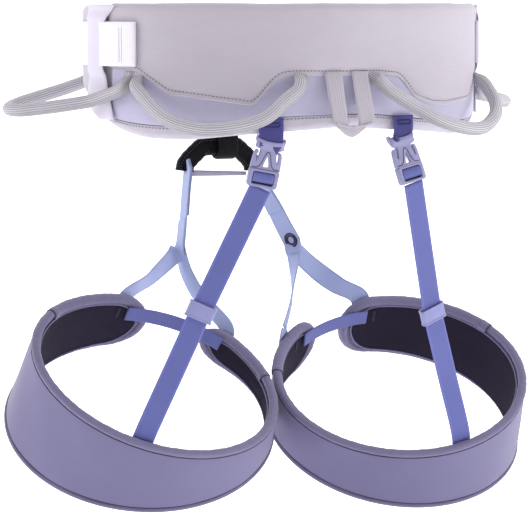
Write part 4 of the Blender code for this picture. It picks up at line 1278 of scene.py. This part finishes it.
for side, s in SIGN.items():
    tab = s * TAB_ANGLE[side]
    out = waist_normal(tab)
    tangent = waist_tangent(tab)
    edge_z = along(PAD_BOTTOM, abs(tab))
    head = waist(tab, -3.0, edge_z - 7.0)
    down = unit(BUCKLE_LEAN[side])
    foot = head + down * BUCKLE_L
    level = waist_tangent(s * BUCKLE_FACE[side])
    ex = unit(level - down * np.dot(level, down))
    facing = np.cross(ex, down)
    if np.dot(facing, out) < 0:
        facing = -facing
    # face of the plate frame points to the rear, where the buckle shows
    fx = ex if np.dot(np.cross(ex, -down), facing) > 0 else -ex
    frame_ = (head, fx, -down)

    # Tab with its bar tack.
    pts = [waist(tab, 0.7, edge_z + RIM + 2.2), waist(tab, 0.7, edge_z + 2.0)]
    for i in range(9):
        t = math.radians(-12 + 204 * i / 8)
        pts.append(head + facing * 3.0 * math.cos(t) + down * 1.3 * math.sin(t))
    pts.append(head - facing * 3.2 - down * 3.0)
    line = curve_through(pts, 60)
    wide = [tangent if i < 12 else unit(tangent * max(0, 1 - (i - 12) / 10) + ex * min(1, (i - 12) / 10))
            for i in range(60)]
    put(sweep(f"rear_tab_{side}", line, wide, tape(19.0, 1.3, 11), "tab"), "waist", f"rear_tab_{side}")
    centre = waist(tab, 1.45, edge_z + 6.4)
    box = [(-6.2, -1.5), (6.2, -1.5), (6.2, 1.5), (-6.2, 1.5), (-6.2, -1.5)]
    path = even(np.array([centre + tangent * x + UP * y for x, y in box]), 80)
    put(stitches(f"rear_tab_tack_{side}", path, out, 1.25, "thread_violet", length=0.95, thick=0.6, lift=0.15),
        "waist")

    # Buckle, fixed half: horns over the tab's bar, a narrow neck, an A-shaped tongue between two spring arms.
    upper = mirrored([(9.8, 2.0), (10.0, 4.2), (10.8, 4.7), (11.5, 3.2), (11.3, 0.6), (10.0, -2.0), (7.8, -4.1),
                      (6.5, -5.7), (6.4, -7.6), (6.7, -10.2), (7.4, -13.4), (8.0, -14.8), (8.6, -14.2), (8.7, -12.2),
                      (8.5, -9.6), (7.8, -8.0), (8.0, -6.7), (9.0, -6.3), (10.2, -7.2), (10.9, -9.6), (11.2, -13.2),
                      (11.5, -17.4), (11.6, -20.6)])
    opening = smooth_outline([(0.2, -10.6), (1.1, -12.8), (2.4, -17.6), (2.3, -19.0), (0.2, -19.3), (-1.9, -19.0),
                              (-2.0, -17.6), (-0.7, -12.8)], 40)
    slot = rounded_box(19.2, 2.2, 0.8, 4) + np.array((0.0, -1.5))
    put(plate(f"rear_buckle_upper_{side}", upper, [opening, slot], 4.0, frame_, "buckle"),
        "waist", f"rear_buckle_upper_{side}")
    # Hood that rises from the neck over the turned tab, its upper edge a shallow crescent.
    hood = []
    for x in np.linspace(-10.6, 10.6, 33):
        edge_y = 0.9 + 1.5 * abs(x / 9.6) ** 2.4
        foot_y = -3.9 - 2.2 * (1 - (x / 10.6) ** 2)
        rise = 2.5 * (1 - smooth_step((abs(x) - 8.6) / 1.6))
        hood.append([head + fx * x - down * (foot_y + (edge_y - foot_y) * v)
                     + facing * (1.55 + (0.25 + rise) * smooth_step(v / 0.75)) for v in np.linspace(0, 1, 12)])
    put(slab(f"rear_buckle_hood_{side}", hood, 0.62, -0.62, "buckle", outward=lambda point, f=facing: f,
             round_by=0.95), "waist")
    # Dark line along the tongue's outline: painted shade in the groove.
    groove = curve_through([head + fx * x - down * y + facing * 2.02 for x, y in (
        (-10.4, -19.8), (-6.6, -19.6), (-4.1, -16.8), (-2.0, -10.0), (0.0, -7.2), (2.0, -10.0), (4.1, -16.8),
        (6.6, -19.6), (10.4, -19.8))], 70)
    put(sweep(f"rear_buckle_groove_{side}", groove, facing, disc(0.36, 8), "groove"), "waist")

    # Sliding half: ladder-lock frame with the strap turned over its bar.
    lower = mirrored([(11.2, -20.75), (11.8, -22.2), (11.8, -32.8), (10.6, -34.8)])
    window = rounded_box(16.8, 9.8, 1.2, 4) + np.array((0.0, -27.7))
    low_half = plate(f"rear_buckle_lower_{side}", lower, [window], 5.6, frame_, "buckle", soft=0.8)
    put(low_half, f"rear_buckle_{side}", f"rear_buckle_lower_{side}")
    path = curve_through([head - down * y + facing * d for y, d in (
        (-22.4, -1.6), (-23.7, 0.8), (-24.8, 2.0), (-27.3, 2.4), (-29.6, 2.0), (-30.6, 0.6), (-31.0, -1.4))], 30)
    put(sweep(f"rear_buckle_strap_turn_{side}", path, ex, tape(16.2, 1.4, 11), "elastic"), f"rear_buckle_{side}")
    # Dark sheet behind the window: painted shadow that shows below the turned strap.
    back = [[head + fx * x - down * y - facing * 1.9 for y in np.linspace(-22.5, -33.0, 5)]
            for x in np.linspace(-8.7, 8.7, 7)]
    put(slab(f"rear_buckle_window_shade_{side}", back, 0.4, -0.4, "groove"), f"rear_buckle_{side}")

    # Elastic strap in two lengths that meet inside the keeper.
    angle, depth = STRAP_FOOT[side]
    inside = -(3.0 + 0.9 + 0.75 + 0.9 + 1.3)
    strap_end = wall(side, angle, depth, inside)
    lead = wall(side, angle, -0.10, inside + 1.0)
    start = foot + down * 0.6
    keeper_at = (foot + down * 3.0 + lead) / 2 + np.array(KEEPER_BOW[side])
    at_foot = wall(side, angle + s, 0.0) - wall(side, angle - s, 0.0)

    def strap_side(path, t0, t1):
        run = unit(np.gradient(path, axis=0))
        t = np.linspace(t0, t1, len(path))[:, None]
        wide = unit(ex)[None] * (1 - t) + unit(at_foot)[None] * t
        return unit(wide - run * np.sum(wide * run, 1, keepdims=True))

    top_line = np.array([start + (keeper_at - start) * t for t in np.linspace(0, 1, 40)])
    ends_at = curve_through([keeper_at, keeper_at + (lead - keeper_at) * 0.5, lead, strap_end], 50)
    wide_top, wide_low = strap_side(top_line, 0.0, 0.5), strap_side(ends_at, 0.5, 1.0)
    bend(sweep(f"rear_strap_upper_{side}", top_line, wide_top, STRAP, "elastic"),
         f"rear_buckle_{side}", "waist", top_line, 2, -6, f"rear_strap_{side}")
    bend(sweep(f"rear_strap_lower_{side}", ends_at, wide_low, STRAP, "elastic"),
         "waist", f"leg_loop_{side}", ends_at, 4, -12, f"rear_strap_{side}")

    # Keeper: a flat moulded band round the strap, thicker at both ends.
    run = unit(lead - start)
    kx = wide_low[0]
    run = unit(run - kx * np.dot(run, kx))
    kn = np.cross(kx, run)
    ring = rounded_box(20.6, 4.4, 1.6, 5)
    hoop = np.array([keeper_at + kx * x + kn * y for x, y in ring])
    body = sweep(f"rear_strap_keeper_{side}", hoop, run, lozenge(12.5, 1.3, 0.4), "keeper", closed=True)
    put(body, f"strap_keeper_{side}", f"rear_strap_keeper_{side}")
    for number, d in enumerate((-5.6, 5.6)):
        lip = np.array([keeper_at + kx * x * 1.03 + kn * y * 1.12 + run * d for x, y in ring])
        put(sweep(f"rear_strap_keeper_lip_{side}_{number}", lip, run, oval(0.9, 0.75, 10), "keeper", closed=True),
            f"strap_keeper_{side}")

# ------------------------------------------------------------------ gear loops and haul loop
REAR_LOOP = {
    "left": ((12.7, -6.2, -19.0), (12.8, -5.4, -22.4), (13.0, -3.0, -25.0), (13.3, 0.6, -28.5), (14.4, 3, -34),
             (17.9, 7, -41), (22.3, 13, -52), (27, 16, -58), (33.3, 19, -61.5), (40, 19, -62), (47.4, 17, -57),
             (53, 12, -48.5), (57.4, 7, -39), (60.6, 3, -32.5), (61.8, -1.0, -28.5), (62.3, -4.8, -24.5),
             (62.6, -6.2, -20.0)),
    "right": ((7.0, -6.2, -19.5), (7.6, -5.4, -22.4), (8.4, -3.0, -25.0), (9.5, 0.6, -28), (12.1, 3, -35.5),
              (18.7, 10, -48), (25, 17, -58.5), (33.4, 21, -65), (41, 23, -65.5), (49, 22, -57), (55.5, 16, -47),
              (60, 8, -37.5), (61.9, 3, -32), (62.6, -1.0, -28.5), (63.0, -4.8, -25.0), (63.3, -6.2, -21.0)),
}
FRONT_LOOP = ((66.0, -6.2, -20.5), (66.0, -5.0, -25.0), (66.1, -1.5, -29.0), (67.2, 0.8, -33.5), (72.5, 1.2, -38),
              (79.7, 5.4, -43), (86.1, 18.9, -46.5), (91.7, 34.5, -49.5), (95.1, 47.5, -51), (98.7, 53.7, -50),
              (102.8, 45, -46.5), (107.4, 33.3, -43), (113.7, 17.7, -38), (118.4, 9.0, -34.5), (121.6, 0.5, -30.5),
              (123.6, -3.4, -26.0), (124.6, -3.8, -20.5))


def lift_from_seam(loop):
    """Bakes the loop's transform in place; the loop is not tied to a body."""
    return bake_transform(loop)


def gear_loop(name, route, radius, node):
    path = curve_through([waist(a, 4.8 + off, z) for a, off, z in route], 400)
    path = even(path, 150)
    run = unit(np.gradient(path, axis=0))
    away = out_along(path)
    # The side direction points up, so the sleeving's painted underside shade lands on the loop's lower half.
    up = unit(np.cross(away, run))
    up = up if up[:, 2].sum() > 0 else -up
    reach = lengths(path)
    reach = np.minimum(reach, reach[-1] - reach)
    flat = np.interp(reach, (0, 3.0, 7.0, 12.0, 16.0), (0.2, 0.22, 0.45, 0.9, 1.0))
    broad = np.interp(reach, (0, 5.0, 9.0, 14.0), (0.92, 1.04, 1.08, 1.0))
    section = disc(radius, 60, ribs=18, depth=0.022)
    loop = sweep(name, path, up, section, "tube", scale=np.stack([broad, flat], 1))
    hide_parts(node)
    return lift_from_seam(loop)


for side, s in SIGN.items():
    gear_loop(f"gear_loop_rear_{side}", [(s * a, off, z) for a, off, z in REAR_LOOP[side]], 5.1,
              f"gear_loop_rear_{side}")
    gear_loop(f"gear_loop_front_{side}", [(s * a, off, z) for a, off, z in FRONT_LOOP], 4.9,
              f"gear_loop_front_{side}")

# Inner and outer edge of the haul loop as (across, height), with its distance from the belt.
HAUL = (((-4.6, -20.5), (-17.6, -20.5), 1.0), ((-4.6, -30), (-17.4, -30), 4.0), ((-4.2, -42), (-16.4, -42), 7.0),
        ((-3.9, -52), (-15.2, -52), 9.5), ((-3.7, -59.4), (-14.4, -58.6), 10.6), ((-3.0, -61.2), (-11.4, -62.4), 11.0),
        ((0.6, -61.5), (-0.4, -69.2), 11.2), ((4.8, -61.2), (11.6, -62.2), 11.0), ((5.9, -59.4), (17.6, -58.2), 10.6),
        ((5.7, -52), (18.4, -52), 9.5), ((5.2, -42), (18.0, -42), 7.0), ((4.8, -30), (17.8, -30), 4.0),
        ((4.6, -20.5), (17.6, -20.5), 1.0))
edges = [curve_through([waist(point[k][0] / 2.88, point[2], point[k][1]) for point in HAUL], 110) for k in (0, 1)]
grid = np.array([[a + (b - a) * r for r in np.linspace(0, 1, 9)] for a, b in zip(*edges)])
ribbon = slab("haul_loop", grid, 0.9, -0.9, "haul", outward=out_of_belt)
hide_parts("haul_loop")
lift_from_seam(ribbon)
for number, sx in enumerate((-1, 1)):
    line = even(np.array([waist((x * 0.999 + 0.2) / 2.88, 12.3, z) for x, z in (
        (sx * 0.4, -61.6), (sx * 4.4 + 0.6, -61.5), (sx * 9.4 + 1.0, -61.0), (sx * 14.6 + 1.6, -59.0))]), 24)
    put(sweep(f"haul_fold_{number}", line, (0, 0, 1), oval(0.9, 0.35, 10, 2.0), "haul"), "haul_loop")

# ------------------------------------------------------------------ floor and light
floor_z = -0.392
floor_mesh = bpy.data.meshes.new("floor")
profile = [(-60.0, floor_z), (3.0, floor_z)]
profile += [(3.0 + 1.5 * math.sin(t), floor_z + 1.5 - 1.5 * math.cos(t)) for t in np.radians(np.linspace(6, 90, 15))]
profile += [(4.5, 6.0)]
direction = np.array((math.sin(math.radians(25)), math.cos(math.radians(25)), 0.0))
across_ = np.array((direction[1], -direction[0], 0.0))
verts = []
for d, z in profile:
    for w in (-8.0, 8.0):
        p = direction * d + across_ * w
        verts.append((p[0], p[1], z))
faces = [(2 * i, 2 * i + 1, 2 * i + 3, 2 * i + 2) for i in range(len(profile) - 1)]
floor_mesh.from_pydata(verts, [], faces)
smooth_faces(floor_mesh)
floor = link("floor", floor_mesh)
n = Nodes("floor_paper")
n.finish(n.ramp(n.noise(3.0, 2.0), ((0.3, (0.955, 0.955, 0.96)), (0.7, (0.975, 0.975, 0.975)))), 0.9)
n.shader.inputs["Emission Color"].default_value = (1.0, 1.0, 1.0, 1.0)
n.shader.inputs["Emission Strength"].default_value = 0.72
floor_mesh.materials.append(n.mat)


def area_light(name, at, aim, size, watts):
    data = bpy.data.lights.new(name, "AREA")
    data.shape = "DISK"
    data.size = size
    data.energy = watts
    obj = link(name, data)
    obj.location = at
    obj.rotation_euler = (Vector(aim) - Vector(at)).to_track_quat("-Z", "Y").to_euler()
    return obj


RIGHT, AHEAD = across_, direction


def studio(r, f, z):
    return tuple(RIGHT * r + AHEAD * f + np.array((0.0, 0.0, z)))


for name, at, size, watts in (("left", studio(-2.3, -0.4, 0.7), 1.4, 30), ("right", studio(2.3, -0.3, 0.6), 1.4, 34),
                              ("front", studio(-0.4, -2.6, 1.2), 1.2, 6), ("top", studio(0.0, 0.0, 2.4), 1.6, 28),
                              ("back", studio(0.2, 2.4, 1.4), 2.0, 16)):
    area_light(name, at, (0, 0, -0.15), size, watts)
world = bpy.data.worlds.new("studio")
scene.world = world
world.use_nodes = True
world.node_tree.nodes["Background"].inputs[0].default_value = (1.0, 1.0, 1.0, 1.0)
world.node_tree.nodes["Background"].inputs[1].default_value = 0.22
